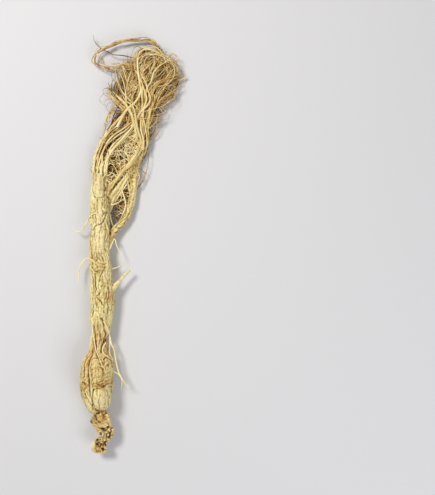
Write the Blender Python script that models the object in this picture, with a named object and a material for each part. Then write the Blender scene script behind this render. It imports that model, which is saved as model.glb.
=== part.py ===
"""A dried ginseng root with its beard, lying on its side.

It grew as one piece: a knobbly crown with cupped stem scars, a wrinkled body with a bulging shoulder,
legs that fork from the body's far end or leave its side, and a beard of rootlets. The crown points to -Y
and the beard to +Y. The body's underside is flat where it rests, at Z = 0, and the origin is on that flat.
"""

import math
import random

import bmesh
import bpy
from mathutils import Vector

MM = 0.001  # every length below is in millimetres

# The body, from the crown's foot to the fork: y, x, half width, half height, height of the axis.
BODY = [
    (-70.6, 0.1, 3.4, 3.2, 8.2),
    (-68.6, -0.8, 5.6, 5.0, 8.2),
    (-66.0, -1.0, 7.4, 6.6, 8.3),
    (-62.0, -1.4, 9.0, 8.0, 8.4),
    (-56.0, -1.9, 10.0, 8.9, 8.5),
    (-50.0, -1.8, 10.3, 9.1, 8.5),
    (-44.0, -1.4, 10.1, 8.9, 8.3),
    (-38.0, -0.5, 8.6, 7.6, 7.8),
    (-33.0, -0.6, 6.7, 6.1, 7.2),
    (-27.0, -0.7, 5.6, 5.3, 6.7),
    (-21.0, 0.3, 6.2, 5.7, 6.4),
    (-15.0, 0.7, 7.1, 6.4, 6.1),
    (-8.0, 1.3, 7.6, 6.8, 6.2),
    (0.0, 1.5, 7.6, 6.8, 6.2),
    (8.0, 0.7, 7.1, 6.4, 5.9),
    (15.0, 0.3, 7.1, 6.4, 6.1),
    (21.0, -0.4, 6.8, 6.1, 6.0),
    (30.0, -0.4, 6.6, 5.9, 6.0),
    (38.0, 0.0, 6.4, 5.7, 6.1),
    (45.0, -0.3, 6.2, 5.5, 6.1),
    (51.0, -0.1, 6.2, 5.4, 6.1),
    (57.0, -0.6, 5.7, 5.0, 5.9),
    (64.0, -0.5, 5.1, 4.5, 5.5),
    (70.0, -0.1, 4.9, 4.1, 5.0),
    (75.0, 0.8, 4.2, 3.4, 4.7),
    (79.0, 1.6, 2.2, 1.9, 4.5),
]
BODY_STEP = 3.1
BODY_SIDES = 26
FURROWS = 8  # wandering lengthwise furrows round the body
FURROW_DEPTH = 0.75
# Creases across the body: y, depth, half width, slant towards +X.
CREASES = [
    (-53.5, 0.9, 1.5, 0.6),
    (-36.5, 0.8, 1.6, -0.8),
    (15.5, 0.6, 1.5, 0.3),
    (43.2, 0.6, 1.5, 5.0),
    (57.0, 0.4, 1.4, 0.5),
]
# Deep grooves along the body: y at each end, angle at each end in degrees (90 is on top), depth.
GROOVES = [
    (-66.0, -36.0, 118, 142, 1.3),
    (-66.0, -54.0, 95, 100, 0.9),
    (-18.0, 12.0, 35, 45, 1.1),
    (-14.0, 14.0, 150, 160, 0.8),
    (40.0, 76.0, 60, 66, 0.8),
    (36.0, 76.0, 118, 122, 0.8),
]
GROOVE_SPREAD = math.radians(11)
UNDERSIDE_SMOOTHING = 0.85  # the share of its relief that the underside loses, so that it rests flat
UNDERSIDE_SPREAD = 0.6  # radians

# The crown's axis, from inside the shoulder out to its end knob: x, y, z, radius.
CROWN = [
    (0.2, -66.0, 8.2, 3.6),
    (0.3, -70.4, 8.2, 4.2),
    (0.4, -73.0, 8.1, 4.7),
    (0.6, -76.2, 8.0, 5.7),
    (2.4, -79.4, 7.6, 4.9),
    (3.2, -83.0, 7.2, 4.7),
    (2.4, -86.2, 6.8, 4.0),
    (0.6, -88.6, 6.5, 3.3),
    (0.0, -91.4, 6.3, 4.1),
    (0.0, -94.6, 6.1, 2.6),
]
CROWN_STEP = 1.7
CROWN_SIDES = 14
CROWN_FLATNESS = 0.9  # its height over its width
CROWN_CRUMPLE = 0.35  # how deep its skin is crumpled
# Cupped scars of old stems on the crown: the cup's x, y, z, the way it faces, radius.
SCARS = [
    ((-4.2, -75.4, 10.2), (-0.7, 0.1, 0.7), 1.8),
    ((5.6, -77.6, 9.2), (0.9, 0.1, 0.4), 1.7),
    ((1.4, -82.6, 11.2), (-0.2, 0.0, 1.0), 2.1),
    ((5.8, -85.6, 8.6), (0.8, -0.2, 0.6), 1.8),
    ((-0.1, -91.4, 9.3), (-0.05, -0.3, 0.95), 3.4),
]
SCAR_SIDES = 10
# A cup's section from its foot to the bottom of its dish: share of the radius, height in millimetres.
CUP = [(0.75, -2.2), (1.0, -0.4), (1.05, 0.35), (0.8, 0.5), (0.5, -0.15)]

# The legs. Each is a route of x, y, z, and the radius there.
LEGS = {
    "first_fork": [
        (-2.4, 62.0, 5.2, 1.7),
        (-3.3, 69.0, 5.2, 2.0),
        (-3.7, 76.5, 5.2, 1.9),
        (-2.6, 84.0, 5.0, 1.5),
        (0.6, 92.0, 4.4, 1.3),
        (5.4, 99.0, 4.2, 1.2),
        (10.2, 104.4, 4.4, 1.15),
        (15.0, 109.8, 4.6, 1.1),
        (17.4, 116.4, 4.2, 1.0),
        (16.8, 124.0, 3.4, 0.9),
        (15.2, 132.0, 3.0, 0.8),
        (13.8, 140.0, 3.4, 0.7),
    ],
    "middle_fork": [
        (-0.4, 69.0, 4.6, 2.4),
        (0.2, 77.0, 4.0, 2.0),
        (1.2, 87.0, 3.2, 1.7),
        (4.2, 93.0, 2.8, 1.5),
        (9.0, 97.8, 2.6, 1.4),
        (15.0, 102.0, 2.4, 1.3),
        (19.8, 107.4, 2.2, 1.25),
        (22.4, 114.0, 2.2, 1.15),
        (23.0, 122.0, 2.2, 1.0),
        (22.2, 131.0, 2.6, 0.95),
        (22.6, 140.0, 3.6, 0.85),
        (26.0, 146.8, 4.6, 0.75),
        (32.0, 147.0, 4.4, 0.7),
        (38.4, 142.2, 3.6, 0.6),
    ],
    "last_fork": [
        (1.8, 68.0, 5.2, 2.4),
        (2.4, 75.6, 5.4, 2.1),
        (4.8, 84.0, 5.4, 1.8),
        (8.4, 90.0, 5.0, 1.6),
        (13.8, 94.8, 4.6, 1.5),
        (19.2, 100.2, 4.8, 1.4),
        (23.4, 106.8, 5.4, 1.3),
        (26.4, 114.0, 5.4, 1.2),
        (28.2, 122.0, 4.6, 1.1),
        (30.2, 131.0, 3.8, 0.95),
        (35.4, 137.4, 3.4, 0.8),
        (41.6, 142.4, 3.4, 0.7),
    ],
    "upper_branch": [
        (0.6, 53.0, 6.0, 2.3),
        (4.8, 63.0, 6.2, 1.8),
        (9.6, 69.0, 5.8, 1.5),
        (14.4, 75.0, 5.6, 1.4),
        (19.2, 80.4, 6.0, 1.35),
        (22.8, 86.4, 6.4, 1.3),
        (24.6, 94.0, 5.8, 1.25),
        (25.6, 104.0, 3.8, 1.2),
        (26.2, 114.0, 2.6, 1.1),
        (25.6, 123.0, 2.6, 1.0),
        (22.6, 131.0, 4.4, 0.9),
        (17.0, 138.0, 4.6, 0.8),
        (6.0, 139.2, 3.6, 0.75),
    ],
    "crossing_branch": [
        (1.2, 51.0, 5.4, 2.2),
        (6.6, 59.4, 5.0, 1.7),
        (11.8, 66.8, 4.4, 1.4),
        (16.2, 72.6, 4.2, 1.3),
        (20.4, 79.0, 4.4, 1.25),
        (22.8, 86.0, 3.4, 1.2),
        (22.2, 93.0, 5.6, 1.15),
        (20.8, 101.0, 7.4, 1.1),
        (18.8, 108.0, 7.6, 1.0),
        (14.6, 114.6, 6.8, 0.9),
        (9.6, 119.6, 5.0, 0.8),
        (4.2, 126.0, 3.4, 0.7),
    ],
    "great_branch": [
        (2.0, 26.0, 5.4, 3.4),
        (6.6, 35.4, 4.8, 3.0),
        (10.4, 40.4, 4.0, 2.8),
        (14.6, 45.4, 3.5, 2.7),
        (17.6, 52.0, 3.2, 2.7),
        (19.2, 60.0, 3.1, 2.6),
        (20.0, 68.0, 3.0, 2.4),
        (21.0, 75.0, 2.7, 2.1),
        (24.0, 82.6, 2.4, 1.8),
        (27.0, 90.0, 2.2, 1.6),
        (28.6, 98.0, 2.0, 1.5),
        (29.4, 106.0, 2.0, 1.4),
        (31.6, 113.6, 2.4, 1.2),
        (36.6, 121.0, 2.8, 1.0),
        (43.6, 127.6, 2.6, 0.85),
        (51.6, 131.4, 2.2, 0.7),
    ],
    "broken_branch": [
        (2.4, -9.0, 7.6, 2.4),
        (6.4, 0.6, 7.8, 2.1),
        (10.2, 6.0, 7.4, 1.5),
        (14.4, 10.8, 7.0, 1.1),
        (18.0, 14.4, 6.8, 0.9),
    ],
}
LEG_STEP = 5.0
LEG_SIDES = 6

# Rootlets at the beard's top: a radius, and a route of x, y, z that starts in a leg.
TOP_ROOTLETS = {
    "loop_round_the_top": (
        0.65,
        [(10.0, 138.8, 4.1), (6.0, 138.4, 3.6), (2.6, 137.8, 3.4), (0.2, 139.6, 3.2), (-1.4, 142.6, 3.2),
         (-1.6, 145.4, 3.2), (1.8, 148.2, 3.2), (7.2, 150.9, 3.4), (12.0, 152.4, 3.5), (18.0, 153.6, 3.5),
         (24.0, 153.8, 3.4), (30.0, 153.2, 3.3), (34.6, 149.6, 3.1), (36.6, 146.0, 3.0)],
    ),
    "lone_hair": (
        0.45,
        [(22.6, 140.4, 3.9), (17.6, 142.8, 4.3), (12.6, 143.9, 4.2), (7.8, 144.4, 4.0), (2.4, 147.0, 3.7),
         (-2.0, 150.2, 3.3), (-4.2, 153.6, 3.2), (-4.6, 156.6, 3.0)],
    ),
    "hood": (
        0.8,
        [(9.0, 90.8, 5.0), (9.8, 96.0, 6.2), (11.4, 102.4, 7.0), (15.6, 109.8, 7.5), (20.4, 114.2, 8.0),
         (24.4, 121.2, 8.5), (23.4, 130.8, 8.9), (22.8, 138.6, 8.3), (24.6, 145.2, 7.9), (30.2, 146.6, 7.3),
         (35.6, 144.2, 6.7), (39.6, 139.2, 6.0)],
    ),
    "right_of_the_hood": (
        0.65,
        [(25.6, 111.4, 5.8), (26.8, 118.0, 7.0), (28.8, 124.2, 7.8), (31.8, 130.4, 8.6), (35.4, 136.2, 8.2),
         (40.6, 139.8, 7.4), (44.4, 139.2, 6.9), (46.2, 136.8, 6.4)],
    ),
    "under_the_hood": (
        0.6,
        [(29.4, 106.0, 2.6), (29.6, 114.0, 5.0), (31.8, 122.4, 6.8), (36.6, 128.0, 7.0), (42.0, 130.2, 6.5),
         (45.6, 132.0, 5.8), (48.0, 130.8, 5.0)],
    ),
}
# Rootlets that lie on the body: a radius, and a route of x, y. Their heights follow the skin.
BODY_ROOTLETS = {
    "along_the_waist": (0.6, [(-4.2, -13.7), (-3.5, -23.5), (-1.5, -32.1), (0.8, -37.0), (3.9, -44.5)]),
    "beside_the_waist": (
        0.6,
        [(3.8, -15.5), (4.7, -26.7), (6.6, -33.8), (8.5, -39.6), (11.8, -48.7), (16.2, -54.7)],
    ),
    "over_the_side": (
        0.55,
        [(2.1, 45.4), (-2.3, 48.2), (-6.8, 45.0), (-10.8, 38.4), (-14.6, 37.6), (-16.6, 41.0)],
    ),
    "across_the_crease": (0.6, [(-1.7, 18.1), (-4.4, 20.7), (-8.8, 20.8), (-12.2, 16.0), (-13.4, 5.9)]),
}
ROUTE_STEP = 4.5
END_RADIUS = 0.5  # the share of a rootlet's radius that is left at its tip
SUNK_END = 1.2  # how deep a body rootlet starts under the skin
PRESSED_IN = 0.1  # how far a body rootlet's axis lies over the smooth skin
BROW = 0.94  # the share of the body's half width where its skin turns too steep to lie on
FLOOR_GAP = 0.3  # the least height of a leg or rootlet over the surface that the root rests on

SEED = 7
ROOTLET_SIDES = 3
ROOTLET_STEP = 4.4
# Rootlets that sprout from each leg: how many, and the stretch of the leg they sprout from.
SPROUTS = {
    "first_fork": (9, 0.3, 0.98),
    "middle_fork": (9, 0.35, 0.98),
    "last_fork": (9, 0.35, 0.98),
    "upper_branch": (8, 0.3, 0.98),
    "crossing_branch": (7, 0.4, 0.98),
    "great_branch": (12, 0.2, 0.98),
}
SPROUT_LENGTHS = (22.0, 46.0)
SPROUT_RADII = (0.45, 0.7)
SPROUT_ANGLES = (12, 38)  # degrees between a sprout and its leg
BEND_CHANGE = 9  # degrees that a sprout's bend may change at each step
FIRST_BEND = 7
STRAIGHTENING = 0.12  # the share of its bend that a sprout loses at each step
# The beard's shape, like a brush that leans right: y, middle x, half width.
BEARD = [
    (52.0, 9.0, 13.0),
    (74.4, 12.0, 16.0),
    (86.4, 14.4, 15.6),
    (98.4, 17.6, 16.0),
    (110.4, 21.0, 18.0),
    (122.4, 25.0, 19.6),
    (134.4, 28.0, 21.0),
    (146.4, 29.0, 21.0),
]
BEARD_TOP = (116.0, 28.0)  # where the brush starts to close, and over what length
# Past this share of the brush a sprout turns back to the middle line, and it ends where it leaves the brush.
EDGE = 0.72
TURN_BACK = 20  # degrees a step
LOOK_AHEAD = 16.0  # how far up the brush a sprout aims as it turns back
HIGHEST_AIM = 126.0
LEVELS = (1.0, 2.2, 6.4, 7.4, 8.4, 9.4)  # heights that sprouts ease to, so few run through others
STEEPEST = 0.45  # a sprout's greatest climb or fall for each millimetre along

SKIN = (0.62, 0.45, 0.19, 1.0)
ROUGHNESS = 0.75


def spline(knots, step):
    """Tuples on the smooth curve through the knots, about step apart along their first three values."""
    points = []
    for i in range(len(knots) - 1):
        before, start, end, after = (knots[min(max(i + k, 0), len(knots) - 1)] for k in (-1, 0, 1, 2))
        count = max(1, round(math.dist(start[:3], end[:3]) / step))
        for j in range(count):
            points.append(tuple(blend(*four, j / count) for four in zip(before, start, end, after)))
    points.append(tuple(knots[-1]))
    return points


def blend(a, b, c, d, t):
    """The Catmull-Rom curve's value at t, from 0 at b to 1 at c."""
    return 0.5 * (2 * b + (c - a) * t + (2 * a - 5 * b + 4 * c - d) * t**2 + (3 * b - a - 3 * c + d) * t**3)


def skinned(name, rings):
    """A closed object over rings of points in millimetres, with a flat cap at each end."""
    mesh = bmesh.new()
    made = [[mesh.verts.new(point * MM) for point in ring] for ring in rings]
    sides = len(rings[0])
    for near, far in zip(made, made[1:]):
        for k in range(sides):
            j = (k + 1) % sides
            mesh.faces.new((near[k], near[j], far[j], far[k]))
    mesh.faces.new(made[0][::-1])
    mesh.faces.new(made[-1])
    bmesh.ops.triangulate(mesh, faces=mesh.faces)
    bmesh.ops.recalc_face_normals(mesh, faces=mesh.faces)
    data = bpy.data.meshes.new(name)
    mesh.to_mesh(data)
    mesh.free()
    placed = bpy.data.objects.new(name, data)
    bpy.context.scene.collection.objects.link(placed)
    return placed


def loft(name, sections, sides, depth):
    """A skin over sections of centre, half width and half height. depth(y, angle) says how far it sinks."""
    rings = []
    for i, (centre, half_width, half_height) in enumerate(sections):
        tangent = sections[min(i + 1, len(sections) - 1)][0] - sections[max(i - 1, 0)][0]
        across = tangent.cross(Vector((0, 0, 1))).normalized()
        up = across.cross(tangent).normalized()
        ring = []
        for k in range(sides):
            angle = math.tau * k / sides
            sunk = depth(centre.y, angle)
            sideways = (half_width - sunk) * math.cos(angle)
            upwards = (half_height - sunk) * math.sin(angle)
            point = centre + across * sideways + up * upwards
            point.z = max(point.z, 0.0)
            ring.append(point)
        rings.append(ring)
    return skinned(name, rings)


def bell(distance, width):
    """1 in the middle, falling away to both sides."""
    return math.exp(-((distance / width) ** 2))


def body_depth(y, angle):
    """How far the body's skin sinks: furrows that wander lengthwise, grooves, and creases across."""
    drift = 0.55 * math.sin(y / 6.5 + math.sin(angle)) + 0.3 * math.sin(y / 2.9 + 2 * angle)
    furrow = 1 - abs(math.sin(FURROWS / 2 * angle + drift))
    sunk = FURROW_DEPTH * furrow**1.5
    for start, end, first, last, depth in GROOVES:
        share = (y - start) / (end - start)
        if 0 <= share <= 1:
            middle = math.radians(first + (last - first) * share)
            fade = math.sin(math.pi * min(max(share, 0.08), 0.92))
            sunk += depth * fade * bell(angle - middle, GROOVE_SPREAD)
    for place, depth, half_width, slant in CREASES:
        sunk += depth * bell(y - place - slant * math.cos(angle), half_width)
    return sunk * (1 - UNDERSIDE_SMOOTHING * bell(angle - 1.5 * math.pi, UNDERSIDE_SPREAD))


def make_body():
    """The curve through the stations needs the axis in front, so x, y, z go first and back again."""
    knots = [(x, y, z, half_width, half_height) for y, x, half_width, half_height, z in BODY]
    sections = [(Vector(station[:3]), *station[3:]) for station in spline(knots, BODY_STEP)]
    return loft("body", sections, BODY_SIDES, body_depth)


def station_at(table, y):
    """The values at y of a table whose rows start with their own y."""
    for near, far in zip(table, table[1:]):
        if y <= far[0]:
            break
    share = min(max((y - near[0]) / (far[0] - near[0]), 0.0), 1.0)
    return [a + (b - a) * share for a, b in zip(near[1:], far[1:])]


def skin_height(x, y):
    """The height of the body's smooth skin at x, y. Beside the body it falls away to the floor."""
    centre, half_width, half_height, middle = station_at(BODY, y)
    out = abs(x - centre) / half_width
    on_top = min(out, BROW)
    return middle + half_height * math.sqrt(1 - on_top**2) - (out - on_top) * half_width


def make_crown():
    sections = [(Vector(p[:3]), p[3], p[3] * CROWN_FLATNESS) for p in spline(CROWN, CROWN_STEP)]
    return loft("crown", sections, CROWN_SIDES, crown_depth)


def crown_depth(y, angle):
    return CROWN_CRUMPLE * math.sin(3 * angle + y) * math.sin(1.7 * y)


def make_scar(number, centre, facing, radius):
    """A cup with a raised rim: its foot is inside the crown and its dish faces out."""
    turn = Vector(facing).to_track_quat("Z", "Y")
    rings = []
    for share, height in CUP:
        ring = []
        for k in range(SCAR_SIDES):
            angle = math.tau * k / SCAR_SIDES
            around = Vector((math.cos(angle), math.sin(angle), 0.0)) * share * radius
            ring.append(Vector(centre) + turn @ (around + Vector((0.0, 0.0, height))))
        rings.append(ring)
    return skinned(f"scar_{number}", rings)


def make_strand(name, route, step, sides):
    """A leg or a rootlet: a round tube along a route of x, y, z and radius, kept off the floor."""
    sections = [
        (Vector((x, y, max(z, radius + FLOOR_GAP))), radius, radius)
        for x, y, z, radius in spline(route, step)
    ]
    return loft(name, sections, sides, lambda y, angle: 0.0)


def thinning(route, radius):
    """The route with a radius that thins to the tip."""
    last = len(route) - 1
    return [(*point, radius * (1 - (1 - END_RADIUS) * n / last)) for n, point in enumerate(route)]


def laid_on_body(route):
    """A route of x, y, z that starts under the skin and then lies on it."""
    lifts = [-SUNK_END] + [PRESSED_IN] * (len(route) - 1)
    return [(x, y, skin_height(x, y) + lift) for (x, y), lift in zip(route, lifts)]


def brush_share(point):
    """How far out in the brush a point lies: 0 on its middle line, 1 at its border."""
    middle, half_width = station_at(BEARD, point.y)
    over = max(point.y - BEARD_TOP[0], 0.0) / BEARD_TOP[1]
    return math.hypot((point.x - middle) / half_width, over)


def into_the_brush(point):
    """The heading from a point towards the brush's middle line farther up, and back down from its top."""
    aim = min(point.y + LOOK_AHEAD, HIGHEST_AIM)
    return math.atan2(aim - point.y, station_at(BEARD, aim)[0] - point.x)


def wander(draw, start, heading, length, level):
    """A sprout's route: it bends one way, then another, eases to its level, and keeps to the brush."""
    point, angle = Vector(start), heading
    bend = draw.uniform(-FIRST_BEND, FIRST_BEND)
    climb_limit = STEEPEST * ROOTLET_STEP
    route = [point]
    for _ in range(round(length / ROOTLET_STEP)):
        bend += draw.uniform(-BEND_CHANGE, BEND_CHANGE) - STRAIGHTENING * bend
        out = brush_share(point)
        if out > 1 and len(route) > 2:
            break
        if out > EDGE:
            off = math.degrees(math.remainder(into_the_brush(point) - angle, math.tau))
            bend = min(max(off, -TURN_BACK), TURN_BACK)
        angle += math.radians(bend)
        climb = min(max(level - point.z, -climb_limit), climb_limit)
        step = Vector((math.cos(angle) * ROOTLET_STEP, math.sin(angle) * ROOTLET_STEP, climb))
        point = point + step
        route.append(point)
    return route


def make_sprouts(draw, name):
    """The rootlets of one leg, leaving it forwards to either side in turn, each at a level of its own."""
    count, first, last = SPROUTS[name]
    points = spline(LEGS[name], 1.0)
    made = []
    for n in range(count):
        share = first + (last - first) * (n + draw.random()) / count
        at = round(share * (len(points) - 2))
        here, ahead = Vector(points[at][:3]), Vector(points[at + 1][:3])
        side = 1 if n % 2 else -1
        heading = math.atan2(ahead.y - here.y, ahead.x - here.x)
        heading += side * math.radians(draw.uniform(*SPROUT_ANGLES))
        length = draw.uniform(*SPROUT_LENGTHS)
        radius = draw.uniform(*SPROUT_RADII)
        route = wander(draw, here, heading, length, draw.choice(LEVELS))
        made.append(make_strand(f"{name}_{n}", thinning(route, radius), ROOTLET_STEP, ROOTLET_SIDES))
    return made


def fuse(body, pieces):
    """Joins the pieces to the body in one skin, and removes them."""
    grown = bpy.data.collections.new("grown_from_the_body")
    for piece in pieces:
        grown.objects.link(piece)
    union = body.modifiers.new("union", "BOOLEAN")
    union.operation = "UNION"
    union.operand_type = "COLLECTION"
    union.collection = grown
    union.solver = "MANIFOLD"
    graph = bpy.context.evaluated_depsgraph_get()
    joined = bpy.data.meshes.new_from_object(body.evaluated_get(graph))
    body.modifiers.clear()
    body.data = joined
    for piece in pieces:
        bpy.data.objects.remove(piece)
    bpy.data.collections.remove(grown)


def skin_material():
    material = bpy.data.materials.new("dried_root_skin")
    material.use_nodes = True
    shader = material.node_tree.nodes["Principled BSDF"]
    shader.inputs["Base Color"].default_value = SKIN
    shader.inputs["Roughness"].default_value = ROUGHNESS
    shader.inputs["Metallic"].default_value = 0.0
    return material


def main():
    for old in list(bpy.data.objects):
        bpy.data.objects.remove(old)
    draw = random.Random(SEED)
    root = make_body()
    pieces = [make_crown()]
    pieces += [make_scar(n, *scar) for n, scar in enumerate(SCARS)]
    for name, route in LEGS.items():
        pieces.append(make_strand(name, route, LEG_STEP, LEG_SIDES))
    for name in SPROUTS:
        pieces += make_sprouts(draw, name)
    for name, (radius, route) in TOP_ROOTLETS.items():
        pieces.append(make_strand(name, thinning(route, radius), ROUTE_STEP, ROOTLET_SIDES))
    for name, (radius, route) in BODY_ROOTLETS.items():
        route = laid_on_body(route)
        pieces.append(make_strand(name, thinning(route, radius), ROUTE_STEP, ROOTLET_SIDES))
    fuse(root, pieces)
    root.name = root.data.name = "ginseng_root"
    root.data.materials.clear()
    root.data.materials.append(skin_material())


main()
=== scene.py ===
"""The looks of a dried ginseng root with its beard, lying on its side and seen from above.

The crown points to -Y and the beard to +Y. Routes, sections and the routes' names are the solid's own, in
millimetres. What the solid has no room for is added here: the finer skin, the tangles and the fine rootlets.
"""

import math

import bmesh
import bpy
import numpy as np
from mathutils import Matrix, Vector


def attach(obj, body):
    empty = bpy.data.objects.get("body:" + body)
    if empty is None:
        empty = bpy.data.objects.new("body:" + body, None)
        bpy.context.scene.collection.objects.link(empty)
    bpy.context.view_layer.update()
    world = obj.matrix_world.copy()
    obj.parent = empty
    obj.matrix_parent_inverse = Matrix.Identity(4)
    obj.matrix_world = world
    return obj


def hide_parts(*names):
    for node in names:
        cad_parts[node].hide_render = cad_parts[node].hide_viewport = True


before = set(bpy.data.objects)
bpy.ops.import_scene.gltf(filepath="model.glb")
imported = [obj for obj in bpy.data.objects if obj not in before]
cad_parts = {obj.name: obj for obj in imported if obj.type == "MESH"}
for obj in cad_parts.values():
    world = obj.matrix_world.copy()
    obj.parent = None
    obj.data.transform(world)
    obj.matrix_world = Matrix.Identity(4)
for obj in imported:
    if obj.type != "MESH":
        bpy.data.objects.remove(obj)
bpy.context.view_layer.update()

MM = 0.001
NODE = "ginseng_root"

# The body, from the crown's foot to the fork: y, x, half width, half height, height of the axis.
BODY = [
    (-70.6, 0.1, 3.4, 3.2, 8.2), (-68.6, -0.8, 5.6, 5, 8.2), (-66, -1, 7.4, 6.6, 8.3),
    (-62, -1.4, 9, 8, 8.4), (-56, -1.9, 10, 8.9, 8.5), (-50, -1.8, 10.3, 9.1, 8.5),
    (-44, -1.4, 10.1, 8.9, 8.3), (-38, -0.5, 8.6, 7.6, 7.8), (-33, -0.6, 6.7, 6.1, 7.2),
    (-27, -0.7, 5.6, 5.3, 6.7), (-21, 0.3, 6.2, 5.7, 6.4), (-15, 0.7, 7.1, 6.4, 6.1),
    (-8, 1.3, 7.6, 6.8, 6.2), (0, 1.5, 7.6, 6.8, 6.2), (8, 0.7, 7.1, 6.4, 5.9), (15, 0.3, 7.1, 6.4, 6.1),
    (21, -0.4, 6.8, 6.1, 6), (30, -0.4, 6.6, 5.9, 6), (38, 0, 6.4, 5.7, 6.1), (45, -0.3, 6.2, 5.5, 6.1),
    (51, -0.1, 6.2, 5.4, 6.1), (57, -0.6, 5.7, 5, 5.9), (64, -0.5, 5.1, 4.5, 5.5), (70, -0.1, 4.9, 4.1, 5),
    (75, 0.8, 4.2, 3.4, 4.7), (79, 1.6, 2.2, 1.9, 4.5),
]
# The crown's axis, from inside the shoulder out to its end knob: x, y, z, radius.
CROWN = [
    (0.2, -66, 8.2, 3.6), (0.3, -70.4, 8.2, 4.2), (0.4, -73, 8.1, 4.7), (0.6, -76.2, 8, 5.7),
    (2.4, -79.4, 7.6, 4.9), (3.2, -83, 7.2, 4.7), (2.4, -86.2, 6.8, 4), (0.6, -88.6, 6.5, 3.3),
    (0, -91.4, 6.3, 4.1), (0, -94.6, 6.1, 2.6),
]
CROWN_FLATNESS = 0.9  # its height over its width
CROWN_STEP = 0.8
# Cupped scars of old stems on the crown: the cup's x, y, z, the way it faces, radius.
SCARS = [
    ((-4.2, -75.4, 10.2), (-0.7, 0.1, 0.7), 1.8), ((5.6, -77.6, 9.2), (0.9, 0.1, 0.4), 1.7),
    ((-0.1, -91.4, 9.4), (-0.05, -0.3, 0.95), 4.5),
]
# A cup's section from its foot to the bottom of its dish: share of the radius, height.
CUP = [
    (0.75, -2.2), (1, -0.6), (1.08, 0.3), (0.95, 0.65), (0.72, 0.5), (0.5, -0.3), (0.2, -0.6),
]
CUP_SIDES = 24
CUP_LOBES = (0.1, 3, 9)  # how far from round a cup is, in how many lobes, and how they turn with its radius
# Folds on the crown: routes of x, y, z and radius. The first is the flap's thick lower rim.
FOLDS = [
    [(-4.3, -73.6, 8.6, 0.9), (-3.2, -75.9, 10.2, 1.15), (-0.9, -77.4, 11.7, 1.1), (1.6, -78.2, 12.4, 1),
     (3.4, -79, 11.8, 0.8)],
    [(-0.1, -70.5, 11.2, 2), (1.4, -73.6, 11.4, 2.7), (3.7, -76.6, 11.2, 2.4), (5, -78.6, 11.4, 1.9)],
    [(-2.6, -72.8, 9.8, 1.5), (-0.9, -75.2, 11.2, 1.8), (1.8, -76.9, 11.9, 1.9), (4.2, -78.2, 11.9, 1.7)],
    [(4.2, -71.3, 10.2, 1.7), (5.2, -74.7, 10.6, 2.3), (6.5, -78.2, 9.9, 1.7)],
    [(7.5, -80.1, 8.6, 1.2), (7.6, -83, 8.4, 1.4), (6.4, -85.8, 8.6, 1.2)],
    [(-1.5, -86.2, 8.6, 0.7), (-2.6, -87.7, 9.4, 0.9), (-3.9, -90, 8.8, 0.9), (-3.7, -93, 8, 0.7)],
    [(-0.3, -85.4, 9.8, 0.7), (0.3, -87.3, 10.2, 0.7)],
    [(1.5, -85.2, 10.6, 0.7), (1.7, -87.2, 10.6, 0.7)],
    [(3.1, -85.8, 10, 0.7), (3.6, -87.7, 10.2, 0.7)],
]
# Knobs on the crown's right flank, at its neck and under the round scar: x, y, z, radius.
KNOBS = [
    (1.2, -82.8, 10.2, 1.15), (4.4, -79.3, 12.2, 0.9), (6.1, -79.9, 11.2, 1), (4.7, -81.5, 11.4, 0.9),
    (6.3, -81, 10.9, 0.9), (7.5, -82.9, 9.8, 0.9), (5.6, -83.7, 10.8, 1), (3.9, -84.3, 11, 0.8),
    (7.2, -85.1, 9.6, 1), (5.3, -86.2, 10, 0.9), (4, -87.2, 9.8, 0.8), (7.8, -80.7, 9.6, 0.8),
    (-1.6, -70.2, 11.4, 0.6), (0.7, -70.5, 12, 0.5),
]
KNOB_SIDES = 12
KNOB_RINGS = 8
KNOB_END = 1.4  # how near a knob's first and last rings are to its poles, in radians from its middle
# The round scar's swollen rim: x, y, z in the middle, radius, thickness and its tilt.
RIM = (1.2, -82.8, 11.3, 1.4, 0.62, 0.5)
RIM_POINTS = 25
RIM_SWELL = (0.2, 1)  # how uneven the rim's thickness is, and where round it that starts
# Cracks and dark hollows on the crown's upper side: depth, half width, route of x, y.
CROWN_LINES = [
    (1.3, 0.55, [(-2.4, -87.8), (-1.2, -89.9), (0.6, -91.5), (1.8, -92.2)]),
    (1.1, 0.5, [(0.8, -90.5), (2.3, -89.1), (3.9, -87.3)]),
    (0.6, 0.4, [(-1.8, -90.9), (-0.3, -92.4)]),
    (0.5, 0.4, [(2.4, -90.5), (3.6, -90)]),
    (0.9, 0.6, [(-0.9, -69.5), (0.2, -69.8)]),
    (0.15, 0.3, [(-1.6, -72.6), (0.3, -74.6), (2.6, -76.2), (5.2, -77.4)]),
    (0.15, 0.3, [(0.2, -71.6), (1.8, -73.3), (3.2, -75.4)]),
    (1, 0.55, [(-3, -78.6), (-0.4, -79.8), (2.6, -80.2), (5.4, -81.6)]),
    (0.5, 0.4, [(6.3, -82.2), (6.6, -83.5), (5.9, -84.9)]),
    (0.5, 0.4, [(4.7, -82.8), (4.3, -83.5), (4.9, -84.9)]),
    (0.7, 0.45, [(4, -88.1), (1.4, -87.7), (-0.8, -86.9)]),
]
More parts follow.
